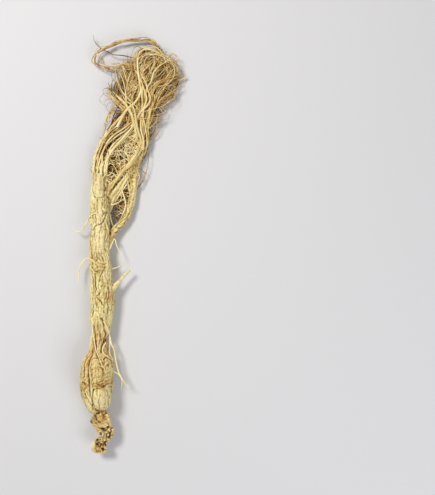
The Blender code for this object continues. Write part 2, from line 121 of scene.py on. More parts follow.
# The legs and branches. Each is a route of x, y, z, and the radius there.
LEGS = {
    "first_fork": [
        (-2.4, 62, 5.2, 1.7), (-3.3, 69, 5.2, 2), (-3.7, 76.5, 5.2, 1.9), (-2.6, 84, 5, 1.5),
        (0.6, 92, 4.4, 1.3), (5.4, 99, 4.2, 1.2), (10.2, 104.4, 4.4, 1.15), (15, 109.8, 4.6, 1.1),
        (17.4, 116.4, 4.2, 1), (16.8, 124, 3.4, 0.9), (15.2, 132, 3, 0.8), (13.8, 140, 3.4, 0.7),
    ],
    "middle_fork": [
        (-0.4, 69, 4.6, 2.4), (0.2, 77, 4, 2), (1.2, 87, 3.2, 1.7), (4.2, 93, 2.8, 1.5),
        (9, 97.8, 2.6, 1.4), (15, 102, 2.4, 1.3), (19.8, 107.4, 2.2, 1.25), (22.4, 114, 2.2, 1.15),
        (23, 122, 2.2, 1), (22.2, 131, 2.6, 0.95), (22.6, 140, 3.6, 0.85), (26, 146.8, 4.6, 0.75),
        (32, 147, 4.4, 0.7), (38.4, 142.2, 3.6, 0.6),
    ],
    "last_fork": [
        (1.8, 68, 5.2, 2.4), (2.4, 75.6, 5.4, 2.1), (4.8, 84, 5.4, 1.8), (8.4, 90, 5, 1.6),
        (13.8, 94.8, 4.6, 1.5), (19.2, 100.2, 4.8, 1.4), (23.4, 106.8, 5.4, 1.3), (26.4, 114, 5.4, 1.2),
        (28.2, 122, 4.6, 1.1), (30.2, 131, 3.8, 0.95), (35.4, 137.4, 3.4, 0.8), (41.6, 142.4, 3.4, 0.7),
    ],
    "upper_branch": [
        (0.6, 53, 6, 2.3), (4.8, 63, 6.2, 1.8), (9.6, 69, 5.8, 1.5), (14.4, 75, 5.6, 1.4),
        (19.2, 80.4, 6, 1.35), (22.8, 86.4, 6.4, 1.3), (24.6, 94, 5.8, 1.25), (25.6, 104, 3.8, 1.2),
        (26.2, 114, 2.6, 1.1), (25.6, 123, 2.6, 1), (22.6, 131, 4.4, 0.9), (17, 138, 4.6, 0.8),
        (6, 139.2, 3.6, 0.75),
    ],
    "crossing_branch": [
        (1.2, 51, 5.4, 2.2), (6.6, 59.4, 5, 1.7), (11.8, 66.8, 4.4, 1.4), (16.2, 72.6, 4.2, 1.3),
        (20.4, 79, 4.4, 1.25), (22.8, 86, 3.4, 1.2), (22.2, 93, 5.6, 1.15), (20.8, 101, 7.4, 1.1),
        (18.8, 108, 7.6, 1), (14.6, 114.6, 6.8, 0.9), (9.6, 119.6, 5, 0.8), (4.2, 126, 3.4, 0.7),
    ],
    "beside_the_crossing": [
        (1.2, 44, 5, 2.2), (4.8, 51.8, 4.8, 2), (8.2, 58, 4.6, 1.5), (12, 63.8, 4.5, 1.15),
        (15.8, 69.2, 4.3, 1), (19.4, 74.4, 4.2, 0.9), (22.2, 80.6, 4, 0.8),
    ],
    "great_branch": [
        (2, 26, 5.4, 3.4), (6.6, 35.4, 4.8, 3), (10.4, 40.4, 4, 2.8), (14.6, 45.4, 3.5, 2.7),
        (17.6, 52, 3.2, 2.7), (19.2, 60, 3.1, 2.6), (20, 68, 3, 2.4), (21, 75, 2.7, 2.1),
        (24, 82.6, 2.4, 1.8), (27, 90, 2.2, 1.6), (28.6, 98, 2, 1.5), (29.4, 106, 2, 1.4),
        (31.6, 113.6, 2.4, 1.2), (36.6, 121, 2.8, 1), (43.6, 127.6, 2.6, 0.85), (51.6, 131.4, 2.2, 0.7),
    ],
    "broken_branch": [
        (2.4, -9, 7.6, 2.4), (6.4, 0.6, 7.8, 2.1), (10.2, 6, 7.4, 1.5), (14.4, 10.8, 7, 1.1),
        (18, 14.4, 6.8, 0.9),
    ],
}
FLOOR_GAP = 0.3  # the least height of a leg over the floor
ROW_STEP = 1.0  # from row to row of points along a strand
TINY = 1e-9  # keeps a division from being by zero

SKIN_SIDES = 64
LEG_SIDES = 20
GRAIN = 0.4  # the size of the fused skin's faces
CROWN_GRAIN = 0.24
NECK = (-70.6, 2.0)  # where the body's skin turns into the crown's, and over what length
SEAM_EASING = 4  # how often the fused skin is smoothed before it gets its relief
HOLLOW_EASING = 8  # how often it is smoothed after, to find the surroundings of each point
# How far apart two skins may be and still share their relief.
MEETING = {"body": 1.1, "leg": 1.1, "crown": 4.0}
FAINTEST = 0.01  # strands with a smaller share in a point's relief are left out
SWELL_RADIUS = 2.2  # thinner strands have a shallower relief in proportion
# The depth at which the painted shade in the furrows is darkest, on the body and on the crown.
DEEP = 0.19  # a point this far under its surroundings is in a furrow's bottom
CROWN_DEEP = 0.24

# Relief of each kind of strand: furrows (depth, spacing, stretch, width), fine wrinkles (the same), cracks
# across (the same) and lumps (height, spacing, stretch).
RELIEF = {
    "body": ((0.75, 2.8, 8.0, 0.34), (0.32, 1.3, 5.0, 0.4), (0.08, 2.0, 0.6, 0.4), (0.75, 5.5, 2.0)),
    "leg": ((0.55, 1.9, 8.0, 0.45), (0.2, 1.1, 5.0, 0.45), (0.08, 1.4, 0.5, 0.3), (0.25, 3.0, 2.5)),
    "crown": ((0.16, 4.0, 1.3, 0.45), (0.2, 1.3, 0.9, 0.5), (0.14, 2.4, 0.5, 0.45), (0.5, 3.2, 1.0)),
}
# The furrows' waviness, coarse and fine: its spacing, its stretch, and its size in millimetres.
WAVES = ((5.5, 1.3, 2.3), (2.4, 1.3, 0.8))
FADING = (9.0, 1.5)  # the size of the areas where furrows are deeper or fainter, and its stretch
FADING_DEPTH = 0.7
TOP_SHARE = 0.55  # how deep the body's furrows are on its top, as a share of their depth at its sides
FLANK = (0.1, 0.4)  # how far down a strand's side drawn forms start, and over what share they grow full
# Steps between the noises' places, so that no two strands or waves have the same pattern.
STRAND_SHIFT = 17.3
WAVE_SHIFT = 31.7
FADING_SHIFT = 7.1
SWING_SHIFT = 9.3
FIBRE_SHIFT = 60.0
# How brown each leg is: 0 for straw, 1 for the crown's bark.
BROWN = {"crown": 1.0, "first_fork": 0.15, "last_fork": 0.25, "upper_branch": 0.7, "great_branch": 0.3,
         "beside_the_crossing": 0.1}
# Grooves on the body, and low ridges where the depth is negative: depth, half width, route of x, y.
LINES = [
    (1.3, 0.65, [(-5.4, -28.6), (-3.5, -31.7), (-4.2, -35.6), (-5.5, -39.4), (-5.8, -42.6), (-5.7, -46.9),
     (-5.2, -53.7), (-4.8, -57.6), (-3.9, -63.8), (-4.2, -69.8)]),
    (0.9, 0.5, [(-7, -33.6), (-7.5, -38.5), (-8.2, -43.5), (-8.4, -48)]),
    (1.4, 0.7, [(-3.4, -19.8), (-2.9, -25.5), (-1.9, -30.5), (-1, -34.8), (0.6, -37.4)]),
    (1.5, 0.75, [(2.4, -14.5), (3.9, -20.5), (4.6, -24.7), (3.6, -28.2), (2.3, -31.4), (1.9, -33.4)]),
    (0.9, 0.6, [(-4.9, -19), (-5.1, -27), (-4.1, -36.2)]),
    (0.7, 0.4, [(-4.2, -45), (-4.2, -41), (-3.5, -38), (-2.2, -36.6), (-0.8, -37.2)]),
    (0.5, 0.4, [(0.4, -21.5), (0.9, -26.5), (0.1, -31), (0.5, -35)]),
    (0.35, 0.5, [(-1.8, -55.5), (-0.1, -54.3), (1.8, -55), (4.2, -53.7), (6.8, -52.6), (8.2, -52.6)]),
    (0.7, 0.5, [(-1.9, -55.5), (-2.7, -58), (-2.8, -63.4), (-1.9, -67.7)]),
    (0.3, 0.35, [(-3, -52.4), (-0.6, -51.7), (2.1, -52.4), (4.5, -51.4)]),
    (0.3, 0.35, [(-2.6, -53.9), (0.2, -53.1), (2.7, -53.6), (5.6, -52.5)]),
    (0.25, 0.35, [(-1.1, -50.4), (1.2, -50.8), (3.6, -50.1), (6.1, -51)]),
    (0.6, 0.4, [(-8.2, -58.3), (-6.6, -62), (-4.6, -65.7), (-3.6, -69.4)]),
    (0.6, 0.4, [(-6.4, -57.1), (-5.2, -60.9), (-3.7, -65.1), (-3, -69.2)]),
    (0.5, 0.35, [(-5, -57.6), (-4, -61.9), (-2.9, -66.4)]),
    (0.5, 0.5, [(-8.2, -52.6), (-7, -53.6), (-7.8, -55.5)]),
    (0.4, 0.4, [(-9.2, -51.4), (-7.5, -51.8), (-6.1, -53.1)]),
    (1, 0.6, [(3.9, -37.7), (5.2, -36.7), (6.6, -37.4), (7.9, -39.7), (8.4, -43.1)]),
    (1.2, 0.8, [(-1.4, -69.2), (0.2, -69.4)]),
    (-0.5, 0.3, [(1.6, -38.4), (2.7, -40.4), (3.7, -42.7), (4.6, -45.7)]),
    (-0.4, 0.3, [(0, -40.9), (2.3, -41.3), (3.7, -42.9)]),
    (-0.35, 0.3, [(5.8, -39.5), (4.5, -40.9), (3.8, -42.7)]),
    (-0.35, 0.3, [(4.5, -45.7), (5.8, -44.6), (7.2, -44.1)]),
    (0.3, 0.5, [(0, -42.4), (-0.8, -46.1), (-0.1, -49.8)]),
    (0.35, 0.5, [(-2.9, -40.7), (-3.1, -45.2), (-2.5, -49.2)]),
    (0.4, 0.6, [(1.6, -58.4), (0.8, -62.7), (1.4, -66.9)]),
    (0.3, 0.5, [(3.4, -59.4), (3.7, -62.7), (2.9, -65.9)]),
    (0.4, 0.6, [(5.4, -56.4), (5.7, -61.5), (4.1, -66.5)]),
    (0.65, 0.5, [(-4.3, 38.3), (-2.9, 40.1), (-0.4, 41.2), (2, 42.7), (3.6, 44.8), (4.7, 48.5)]),
    (0.6, 0.4, [(-5.6, 18.7), (-5.2, 16.9), (-4.2, 15.1), (-2.5, 14), (-0.7, 13.6)]),
    (0.2, 0.35, [(-3.9, 18.3), (-3.5, 16.3), (-1.9, 15.3), (-0.7, 16.3), (-1.3, 17.9)]),
    (-0.5, 0.9, [(4.9, 24), (5.2, 16), (5.5, 9)]),
    (0.25, 0.35, [(0.3, 14), (2.1, 14.6), (3.8, 14.2)]),
    (0.25, 0.35, [(1.1, 18.7), (2.6, 17.8), (4.3, 18.4)]),
    (0.3, 0.35, [(1.7, 16.5), (3.2, 16), (4.9, 16.3)]),
    (0.7, 0.5, [(-5, 41.9), (-5.7, 32.4), (-5.1, 26.4), (-4.6, 21.7)]),
    (0.4, 0.45, [(-2.9, 39.5), (-2.4, 32.4), (-1.4, 25.2), (-1.1, 20.5)]),
    (0.35, 0.45, [(1.4, 40.1), (0.4, 32.9), (1.7, 26.4), (2.2, 21.1)]),
    (0.35, 0.45, [(3.7, 38.7), (3.5, 31.4), (4.2, 25.2)]),
    (0.7, 0.5, [(-4.9, 13.3), (-4.3, 7.9), (-3.8, 2.6), (-4.2, -3.4), (-3.9, -9.3), (-4.4, -15.9),
     (-3.2, -22.3)]),
    (0.38, 0.4, [(3.2, 15.1), (1.6, 11.7), (0.2, 8.3), (-0.1, 4.4), (1.3, 1.7), (-1.1, -1), (0.9, -3.7),
     (2.9, -6.3)]),
    (0.25, 0.4, [(5.5, 13.7), (5.1, 10.4), (5.5, 7), (3.2, 3.7)]),
    (0.35, 0.4, [(5.1, 1.7), (3.8, -3.7), (3.1, -8.9), (4.2, -11.6)]),
    (0.38, 0.4, [(-0.1, -7.6), (0.5, -11.6), (1.5, -15), (3.1, -18.3)]),
    (0.3, 0.4, [(-1.8, 13), (-2.3, 8.4), (-1.6, 3.9), (-2.4, -0.6), (-1.4, -5), (-2.2, -10)]),
    (0.4, 0.45, [(5.9, 4), (6.1, 0.5), (5.7, -5.6), (6, -12.8)]),
    (0.8, 0.55, [(-4.6, 71.5), (-4.9, 66), (-4.3, 61.1), (-2.9, 58.2)]),
    (0.3, 0.5, [(-3.5, 58.8), (-0.9, 57.3), (1.8, 57.7), (3.6, 59.2)]),
    (0.5, 0.45, [(-0.5, 56.1), (-1.1, 52), (-0.2, 47.2)]),
    (0.5, 0.45, [(2.1, 56.5), (1.9, 51.8), (2.6, 47.8)]),
    (0.7, 0.5, [(3.5, 70.3), (3.8, 64.7), (3.5, 59.8)]),
]
# Clefts between the legs where they leave the body: the same.
CLEFTS = [
    (1.6, 0.6, [(-0.7, 73.1), (-1.3, 77.5), (-0.7, 81.7), (0.5, 86.5), (2.9, 91.3)]),
    (1.2, 0.5, [(2.3, 71.2), (2.1, 76.5), (2.7, 81.7), (4.5, 87.1), (7.9, 91.9), (12.5, 96.1)]),
    (0.8, 0.4, [(-2.3, 68.2), (-3, 74.4), (-2.3, 80.5), (-0.7, 86.1)]),
    (0.8, 0.4, [(4.3, 74.5), (4.9, 80.5), (6.7, 86.5), (10.3, 91.3), (14.9, 95.5)]),
]
LINE_STEP = 1.5
LINE_REACH = 4  # how many half widths from their routes the grooves end
LINE_SWING = 0.5  # how far the grooves wander off their routes
SWING_SPACING = 2.6
# How sharp the edges are of the furrows, the drawn grooves and the bulges, as a power.
NET_EDGE = 1.3
LINE_EDGE = 1.4
LOBE_EDGE = 4
# Where the body's and crown's own relief is fainter, or deeper past 1: x, y, half sizes, share.
CALM = [
    (-0.5, -28, 12, 9, 1.4), (-7.5, -47, 4, 13, 1.5), (2.2, -47, 7, 6.5, 0.1), (0, 30, 12, 20, 0.85),
    (0.6, -3, 6, 15, 0.35), (1.6, 16.6, 4.6, 4.2, 0.3), (-0.1, 64.9, 4.2, 7.5, 0.45),
    (2.9, -61.7, 5, 6, 0.8), (1.2, -75.2, 4.5, 3.6, 0.2),
]
CALM_FINE = 0.5  # the share of the finer relief that stays even in the calmest place
# Bulges on the body: x, y, half sizes, height.
LOBES = [
    (2.9, -62, 5.2, 6.6, 1.5), (-8.2, -46.7, 2.4, 9, 0.8), (2, -48, 5.6, 4.6, 0.7),
    (6.1, -42.4, 3, 4.6, 0.6), (1.5, 16.6, 5, 3, 0.4), (-2.3, 16.8, 1.6, 1.6, 0.3), (1.8, 33.9, 4, 5, 0.4),
    (-0.1, 64.9, 4, 6.8, 0.6),
]
# Darker, rusty places, and paler ones where the strength is negative: x, y, half sizes, strength.
STAINS_AND_PAINTED_LIGHT = [
    (1.4, -52.5, 4.6, 2.2, 0.65), (5.8, -51.9, 2.4, 1.6, 0.4), (-5.2, -38.4, 2.4, 6, 0.5),
    (-7.8, -45, 1.6, 6, 0.5), (-2.4, -29, 1.4, 7, 0.5), (1, -36.1, 3.6, 2.6, 0.35),
    (-7.3, -53.8, 2.4, 2.4, 0.6), (-0.2, -68.8, 2.4, 1.6, 1), (3.4, -28.2, 1.4, 3.2, 0.9),
    (0, -27, 7, 9, 0.15), (2.2, -45, 5, 5, 0.3), (1.6, 16.4, 2.6, 2.4, 0.45), (5.3, 16, 1.3, 7, -0.9),
    (6.1, 35.6, 1.8, 4.4, 0.6), (6.4, -1.4, 1.8, 3.2, 0.6), (2.9, -61.5, 3.8, 5, -0.9),
    (-0.1, 65.1, 3.4, 6, -0.6), (0.8, 33, 4.4, 9, -0.7), (4, 10.8, 2.4, 3.4, -0.6),
    # The last patch on the next line is a painted highlight along the crown flap's rim.
    (-6, -62.6, 1.6, 4, -0.5), (1.4, -74.6, 3.6, 2.8, 0.35), (-1.6, -77.6, 2.2, 1, -1.2),
    # The middle patch on the next line is painted shade under the crown's flap.
    (2.9, -77, 2.4, 1.2, -0.8), (1.4, -79.9, 2.6, 0.7, 0.5), (-3.4, -75.3, 1, 2, -0.6),
    (1.2, -82.8, 2, 2, -1.8), (1.2, -82.8, 0.8, 0.8, 2.6), (-3.6, -89.7, 1.1, 3.4, -2.2),
    (0.6, -91, 2.4, 2.2, 0.5), (1.6, -85.9, 2, 1.2, -0.5),
]
STAINED_FROM = 6.0  # the height over which the skin has them
# Tanned places on the body, as brown as a leg of the same share: x, y, half sizes, share.
TANS = [
    (-0.6, -29, 8, 8, 0.85), (2.6, -62.4, 3.4, 4.8, 0.5), (-7, -46, 4, 12, 0.45), (0, 36, 5, 5, 0.15),
    (2.6, -45, 7, 6.5, 0.36), (5.6, 37, 2.4, 5, 0.5), (6.8, -1, 2, 5, 0.4), (1.6, 16, 4, 2.6, 0.2),
]

# Rootlets with a route of their own: radius at the start, how many run in company, tone, heights and x, y.
# The heights are spread evenly over the route's points.
TOP_ROOTLETS = [
    (0.5, 1, 0.34, (5, 3), [(21.6, 136.8), (16.8, 138.3), (12, 138.3), (7.8, 137.4), (3.6, 137.4),
     (0.6, 139.2), (-1.2, 142.2), (-1.8, 145.2), (0.6, 147.6), (4.2, 149.4), (7.2, 150.9), (12, 152.4),
     (18, 153.6), (24, 153.8), (30, 153.3), (32.4, 152.1), (34.8, 149.4), (36.6, 146.4)]),
    (0.23, 8, 0.52, (4.5, 3.5), [(36, 140.4), (34.8, 147.6), (31.2, 152.4), (25.2, 153.6), (18, 153),
     (10.8, 151.8), (4.8, 149.4), (-0.6, 147), (-3.6, 143.4), (-4.2, 139.2), (-0.6, 137.4), (4.2, 135.9),
     (9.6, 135), (16.2, 133.8)]),
    (0.36, 1, 0.78, (5, 3), [(22.8, 141), (19.8, 142.2), (16.2, 143.2), (12.6, 143.9), (7.8, 144.4),
     (4.8, 145.8), (2.4, 147), (0, 148.2), (-2.4, 150.6), (-4.2, 153.6), (-4.6, 156.6)]),
    (0.8, 1, 0.22, (7, 9, 6), [(10.2, 100.2), (13.2, 105.6), (15.6, 109.8), (18, 112.2), (20.4, 114),
     (22.8, 117), (24.6, 121.2), (24.2, 125.4), (23.4, 130.8), (22.8, 136.2), (22.8, 141.6), (24.6, 145.2),
     (27.6, 146.8), (31.2, 146.2), (34.8, 144.6), (37.8, 142.2), (39.6, 139.2)]),
    (0.5, 4, 0.5, (6, 7.5, 5), [(20.4, 114), (22.8, 118.2), (24, 123.6), (22.8, 130.2), (22.2, 136.8),
     (22.8, 142.2), (25.2, 145.6), (28.8, 145.8), (33, 144.6), (36.6, 142.6), (39.6, 139.8),
     (41.4, 136.2)]),
    (0.7, 2, 0.2, (7, 8.5, 6), [(18.6, 100.2), (22.2, 104.4), (25.2, 108.6), (28.2, 112.8), (29.4, 117.6),
     (28.8, 122.4), (28.2, 126), (26.4, 129.6), (24.6, 133.2), (24, 136.8)]),
    (0.62, 2, 0.2, (6.6, 8.6, 6), [(25.8, 86.4), (25.8, 92.4), (25, 98.4), (25.8, 104.4), (26.4, 110.4),
     (27, 116.4), (26.4, 121.2), (25.2, 126), (23.4, 130.2), (21.6, 134.4), (21, 138), (21.6, 142.2)]),
    (0.6, 1, 0.25, (7, 9.2, 6.4), [(26.4, 109.2), (26.4, 115.2), (27, 120), (28.8, 124.2), (30.6, 126.6),
     (31.8, 130.2), (32.4, 132.6), (35.4, 136.2), (39, 138.6), (41.4, 140.2), (44.4, 139.2),
     (46.2, 136.8)]),
    (0.5, 3, 0.4, (6, 8, 5), [(28.8, 109.2), (29.4, 115.2), (30.6, 120), (32.4, 123.6), (34.8, 126.8),
     (37.8, 128.8), (42, 130.2), (45.6, 132), (48, 130.8)]),
    (0.7, 2, 0.15, (5, 8.4, 6), [(24.6, 85.2), (25.2, 88.8), (24, 93.6), (22.8, 99), (21.6, 103.8),
     (20.4, 109.2), (18, 114), (15, 117.6), (12.6, 121.2)]),
    (0.45, 1, 0.25, (5, 7.8, 6), [(15.6, 114), (16, 118.8), (16.2, 124.8), (17.2, 129), (18.6, 133.2),
     (19.8, 136.2), (22.2, 140.4)]),
    (0.4, 1, 0.3, (6, 7.6, 6), [(15.6, 129), (17.8, 127.6), (19.8, 125.4), (22, 123.4), (19.8, 122),
     (16.8, 121), (15, 118.8)]),
    (0.4, 4, 0.35, (5.4, 6, 4), [(16.8, 107.4), (14.4, 110.4), (12.4, 112.8), (10.2, 115.4), (7.8, 118.4),
     (6, 121.8), (4.8, 126)]),
    (0.5, 2, 0.4, (5, 6.4, 4), [(30, 102), (31.2, 108), (33.6, 113.4), (37.2, 117.6), (42, 120.8),
     (45.6, 123.8), (48.6, 126)]),
    (0.42, 2, 0.3, (5, 7, 4), [(32.4, 114), (34.2, 119.4), (37.2, 124.6), (39.6, 127.2), (42.6, 129.2),
     (46.2, 130.8)]),
    (0.42, 2, 0.3, (5, 7, 4), [(34.8, 122.4), (36.6, 127.2), (39.6, 130.8), (41.4, 133.2), (43.8, 135.6),
     (46.2, 136.6)]),
    (0.6, 3, 0.35, (5, 7.4, 5), [(27.6, 87.6), (28, 93.6), (27.2, 99.6), (28, 104.4), (29.4, 108.6),
     (31, 112.8), (31.8, 118.8), (31.6, 123.6), (32.8, 128.4), (34.8, 132)]),
    (0.5, 2, 0.3, (5, 6, 5.6), [(-4.2, 66), (-4.2, 71.4), (-2.6, 78.6), (-1.2, 84), (0.6, 88.8), (3, 93.2),
     (6.6, 97.8), (10.8, 101.6), (13.8, 106.8)]),
    (0.6, 2, 0.15, (5.4, 5.7, 5.9, 6.2, 6.4, 6.4, 6.4, 6.4, 6.4), [(0, 73.2), (0.6, 80.4), (1.8, 86.4),
     (4.8, 91.8), (9.6, 96.2), (15, 99.8), (19.2, 103.4), (21.6, 108.6), (23.4, 114)]),
    (0.7, 2, 0.1, (4.2, 5.2, 6.5, 7, 7.3, 7.6, 7.3, 7.1, 6.8, 6.6), [(2.2, 64), (3.6, 70.8), (4.4, 77.4),
     (5.8, 83.6), (7.8, 87.8), (11.4, 91.8), (15.6, 95.6), (19.2, 99.8), (22.6, 105), (25.2, 111)]),
    (0.5, 2, 0.3, (6.6, 7.2, 7), [(7.2, 64.2), (10.2, 68.4), (13.8, 72.6), (17.4, 75.8), (21, 79.2),
     (23.8, 83.4), (25.6, 88.8), (26.4, 96), (27, 103.2)]),
    (1, 1, 0.15, (5, 4.6, 4.4, 4.2, 4.2, 4.2), [(2.6, 52.5), (5.8, 60.6), (10.8, 67.6), (15.4, 73.6),
     (19.9, 79.6), (22.6, 86)]),
    (0.6, 1, 0.2, (4.8, 4, 4.3, 4.2, 4, 3.8), [(3.2, 45.4), (7.4, 53.4), (10.4, 58.4), (13.7, 63.3),
     (17.1, 68), (20.3, 72.8)]),
    (0.55, 1, 0.05, (4.6, 4.8, 5, 5.4, 6.2, 6.4), [(13.6, 65.4), (12.9, 62.4), (14.2, 58.6), (15.1, 54.6),
     (14.8, 51), (12.4, 45.6)]),
    (0.5, 1, 0.1, (5.6, 5.2, 4.6, 4.4), [(6.4, 53.4), (9.6, 54.4), (12.4, 56.2), (14.6, 57.6)]),
    (0.45, 1, 0.15, (5.6, 5.8, 6, 6), [(5.6, 48.4), (6.4, 44.6), (7.6, 41.2), (9, 38.6)]),
]
SWAY = (2.4, 2.4, 1.6)  # how far rootlets that run in company stray from their shared route
SWAY_LENGTH = 14
SWAY_SHIFTS = (5, 40)  # steps between the sways of two rootlets, and of two directions
# Rootlets laid on the body's skin: radius and a route of x and y.
BODY_ROOTLETS = [
    (0.4, [(-4.2, -13.7), (-3.9, -19.5), (-3.1, -24.5), (-1.5, -32.1), (0.8, -37), (3.9, -44.5)]),
    (0.6, [(5.6, -25.2), (6.8, -29.8), (8.6, -33.8), (9.4, -38.4), (10.4, -43), (11.6, -46.8), (13.8, -51),
     (16.2, -54.7), (18.8, -55.5)]),
    (0.5, [(3, -15.9), (5, -19.9), (5.8, -25.9), (5.9, -29.9), (6, -33.9), (7, -36.8), (8.9, -39.7)]),
    (0.38, [(3.9, -28.8), (2.4, -32), (3, -34.4), (4.6, -36), (7.2, -38.3), (8.9, -40)]),
    (0.45, [(7.5, -45.1), (9.2, -46.5), (11.6, -48.1), (13.4, -51.7), (12.8, -57.7)]),
    (0.4, [(5.9, 27), (8.5, 33), (9.9, 29), (12.1, 24), (13.3, 19)]),
    (0.4, [(6.8, 15.1), (10.3, 16), (13.3, 18.6)]),
    (0.55, [(2.1, 45.4), (-2.3, 48.2), (-6.8, 45), (-10.8, 38.4), (-14.6, 37.6), (-16.6, 41)]),
    (0.6, [(-1.7, 18.1), (-4.4, 20.7), (-8.8, 20.8), (-12.2, 16), (-13.4, 5.9)]),
]
LAID_STEP = 0.8
LAID_TONE = 0.03
LAID_LIFT = 0.4  # the share of its radius that a laid rootlet's axis is over the skin
SUNK_START = 1.5  # how deep it starts under the skin
LAID_EASING = 5  # how many points share their height, so that it lies evenly
OWN_TONE = 0.08  # how much rootlets with a route vary in tone
# The beard's shape, like a brush that leans right: y, middle x, half width.
BEARD = [
    (52, 9, 13), (74.4, 12, 16), (86.4, 14.4, 15.6), (98.4, 17.6, 16), (110.4, 21, 18.6),
    (122.4, 25.4, 20.8), (134.4, 29, 22.4), (146.4, 31, 22.4), (156, 30, 18),
]
BEARD_TOP = (118.0, 28.0)  # where the brush starts to close, and over what length
BEARD_FOOT = (72.0, 16.0)
# The y that rootlets past the edge turn back to, and how far off it counts at most.
BEARD_HEART = (115.0, 30.0)
LOOK_AHEAD = 16.0  # how far up the brush rootlets aim
LANES = 0.92  # how far out the outermost lane is, as a share of the brush's half width
LANE_SPREAD = 0.06
TURN_START = 118.0
TURN_SPAN = 26.0
TURN_ANGLE = 0.9  # how far rootlets turn at the top: left in the lanes left of TURN_LANE, else right
TURN_LANE = -0.35
EDGE = 0.75  # the share of the brush past which rootlets bend back
EDGE_PUSH = 0.6  # how hard they do
PUSH_LIMIT = 0.4
RAGGED = 0.07  # how unevenly they end at the brush's border
# How a rootlet wanders: its own share of the bends when it runs in company, what it keeps of its bend at
# each step and what is new, the same for its climb, how it climbs to its level, and how steeply at most.
OWN_BEND = 0.35
BEND_KEPT, BEND_NEW = 0.88, 0.47
CLIMB_KEPT, CLIMB_NEW = 0.8, 0.2
CLIMB = 0.12
STEEPEST = 0.5
JITTER = 0.03
THINNING = 1.5  # past 1, thin rootlets are more common than thick ones
KNOBBLY = 0.12  # how uneven a rootlet's radius is
FEWEST = 4  # points in a rootlet
TIP = 5.0  # the length over which they run out into a point
TIP_SHARE = 0.3
SLIMMING = 0.5  # the share of its radius that a rootlet loses from start to end
SIDE_BY_SIDE = 0.04  # how far apart rootlets in company leave their parent, as a share of it
LAST_START = 0.98
HEADING_SPREAD = 0.08
# The tangles between the legs: middle x and y, half sizes, and how far they lean for each millimetre up.
FORK_NEST = (12.6, 82.0, 8.0, 16.0, 0.42)
FORK_GAPS = (3.2, 88.5, 4.4, 15.0, 0.55)
BRANCH_GAP = (11.4, 55.0, 4.8, 11.5, 0.35)
BRANCH_COVER = (19.6, 68.0, 3.6, 11.0, 0.12)
TANGLED = dict(company=1, pull=0.0, spread=(0.0, 1.0), border=1.1)
# Sizes of rootlet, each growing from the legs or from the sizes before it:
# count: how many there are. company: how many run side by side. length and radius: the least and the most.
# step: from point to point. bend: how fast they wander. pull: how strongly they follow the brush.
# spread: the angle they leave at. level: the heights they seek. share: where on their parent they start.
# border: how far out in the brush they end. tone: 0 for the palest skin, 1 for the brownest.
# sides: of the round section. nest: the tangle they fill, which they start round and not on their parents.
ROOTLETS = {
    # Painted shade: this low layer is given a dark tone to stand for the shade in the beard's gaps.
    "under": dict(count=460, company=3, length=(20, 46), radius=(0.28, 0.45), step=1.6, bend=0.05, pull=0.05,
                  spread=(0.0, 0.4), level=(0.5, 2.6), share=(0.45, 0.95), border=0.82, tone=0.68, sides=4),
    "long": dict(count=111, company=3, length=(36, 78), radius=(0.18, 0.44), step=1.3, bend=0.035, pull=0.06,
                 spread=(0.05, 0.4), level=(2.5, 8.0), share=(0.3, 0.9), border=0.98, tone=0.38, sides=6),
    # Painted shade: dark-toned rootlets low in the tangle, standing for the shade between the legs.
    "nest_under": dict(TANGLED, nest=FORK_NEST, count=300, length=(10, 24), radius=(0.25, 0.4), step=1.0,
                       bend=0.2, level=(0.5, 2.4), tone=0.84, sides=4),
    "nest": dict(TANGLED, nest=FORK_NEST, count=330, length=(6, 19), radius=(0.25, 0.4), step=0.7,
                 bend=0.34, level=(2.8, 7.5), tone=0.16, sides=5),
    # Painted shade: dark-toned rootlets low in the gaps between the fork's legs.
    "fork_under": dict(TANGLED, nest=FORK_GAPS, count=150, length=(10, 26), radius=(0.25, 0.42), step=1.0,
                       bend=0.14, spread=(0.0, 0.9), level=(0.5, 2.6), tone=0.72, sides=4),
    "side": dict(count=420, company=3, length=(14, 40), radius=(0.14, 0.3), step=1.0, bend=0.07, pull=0.04,
                 spread=(0.2, 0.9), level=(1.0, 8.0), share=(0.2, 0.9), border=1.0, tone=0.45, sides=5),
    "fine": dict(count=800, company=1, length=(7, 20), radius=(0.12, 0.2), step=0.8, bend=0.16, pull=0.01,
                 spread=(0.3, 1.2), level=(0.4, 4.0), share=(0.2, 0.9), border=1.12, tone=0.52, sides=4),
    # Painted shade: dark-toned rootlets low in the gap beside the great branch.
    "gap_under": dict(TANGLED, nest=BRANCH_GAP, count=110, length=(8, 20), radius=(0.25, 0.4), step=1.0,
                      bend=0.2, level=(0.4, 1.6), border=1.05, tone=0.8, sides=4),
    "gap": dict(TANGLED, nest=BRANCH_GAP, count=120, length=(7, 20), radius=(0.22, 0.36), step=0.8,
                bend=0.3, level=(1.0, 4.0), border=1.05, tone=0.25, sides=5),
    "cover": dict(TANGLED, nest=BRANCH_COVER, count=80, length=(7, 22), radius=(0.2, 0.34), step=0.8,
                  bend=0.26, level=(4.5, 7.5), tone=0.3, sides=5),
}
PARENTS = ("long", "side")
BARE_LEGS = ("broken_branch", "beside_the_crossing")
TONE_SPREAD = 0.2
# Painted shade: rootlets lower in the beard are made browner, as though in the shade of those above.
SHADE_BY_LEVEL = 0.05  # how much browner a rootlet is for each millimetre that it lies lower in the beard
MIDDLE_LEVEL = 5.0  # the height at which a rootlet has its own tone
NEST_BORDER = 4.0  # how far round a tangle legs give it rootlets
SEED = 5
SOFT_FLOOR = 1.0  # rootlets lower than this are eased up off the floor

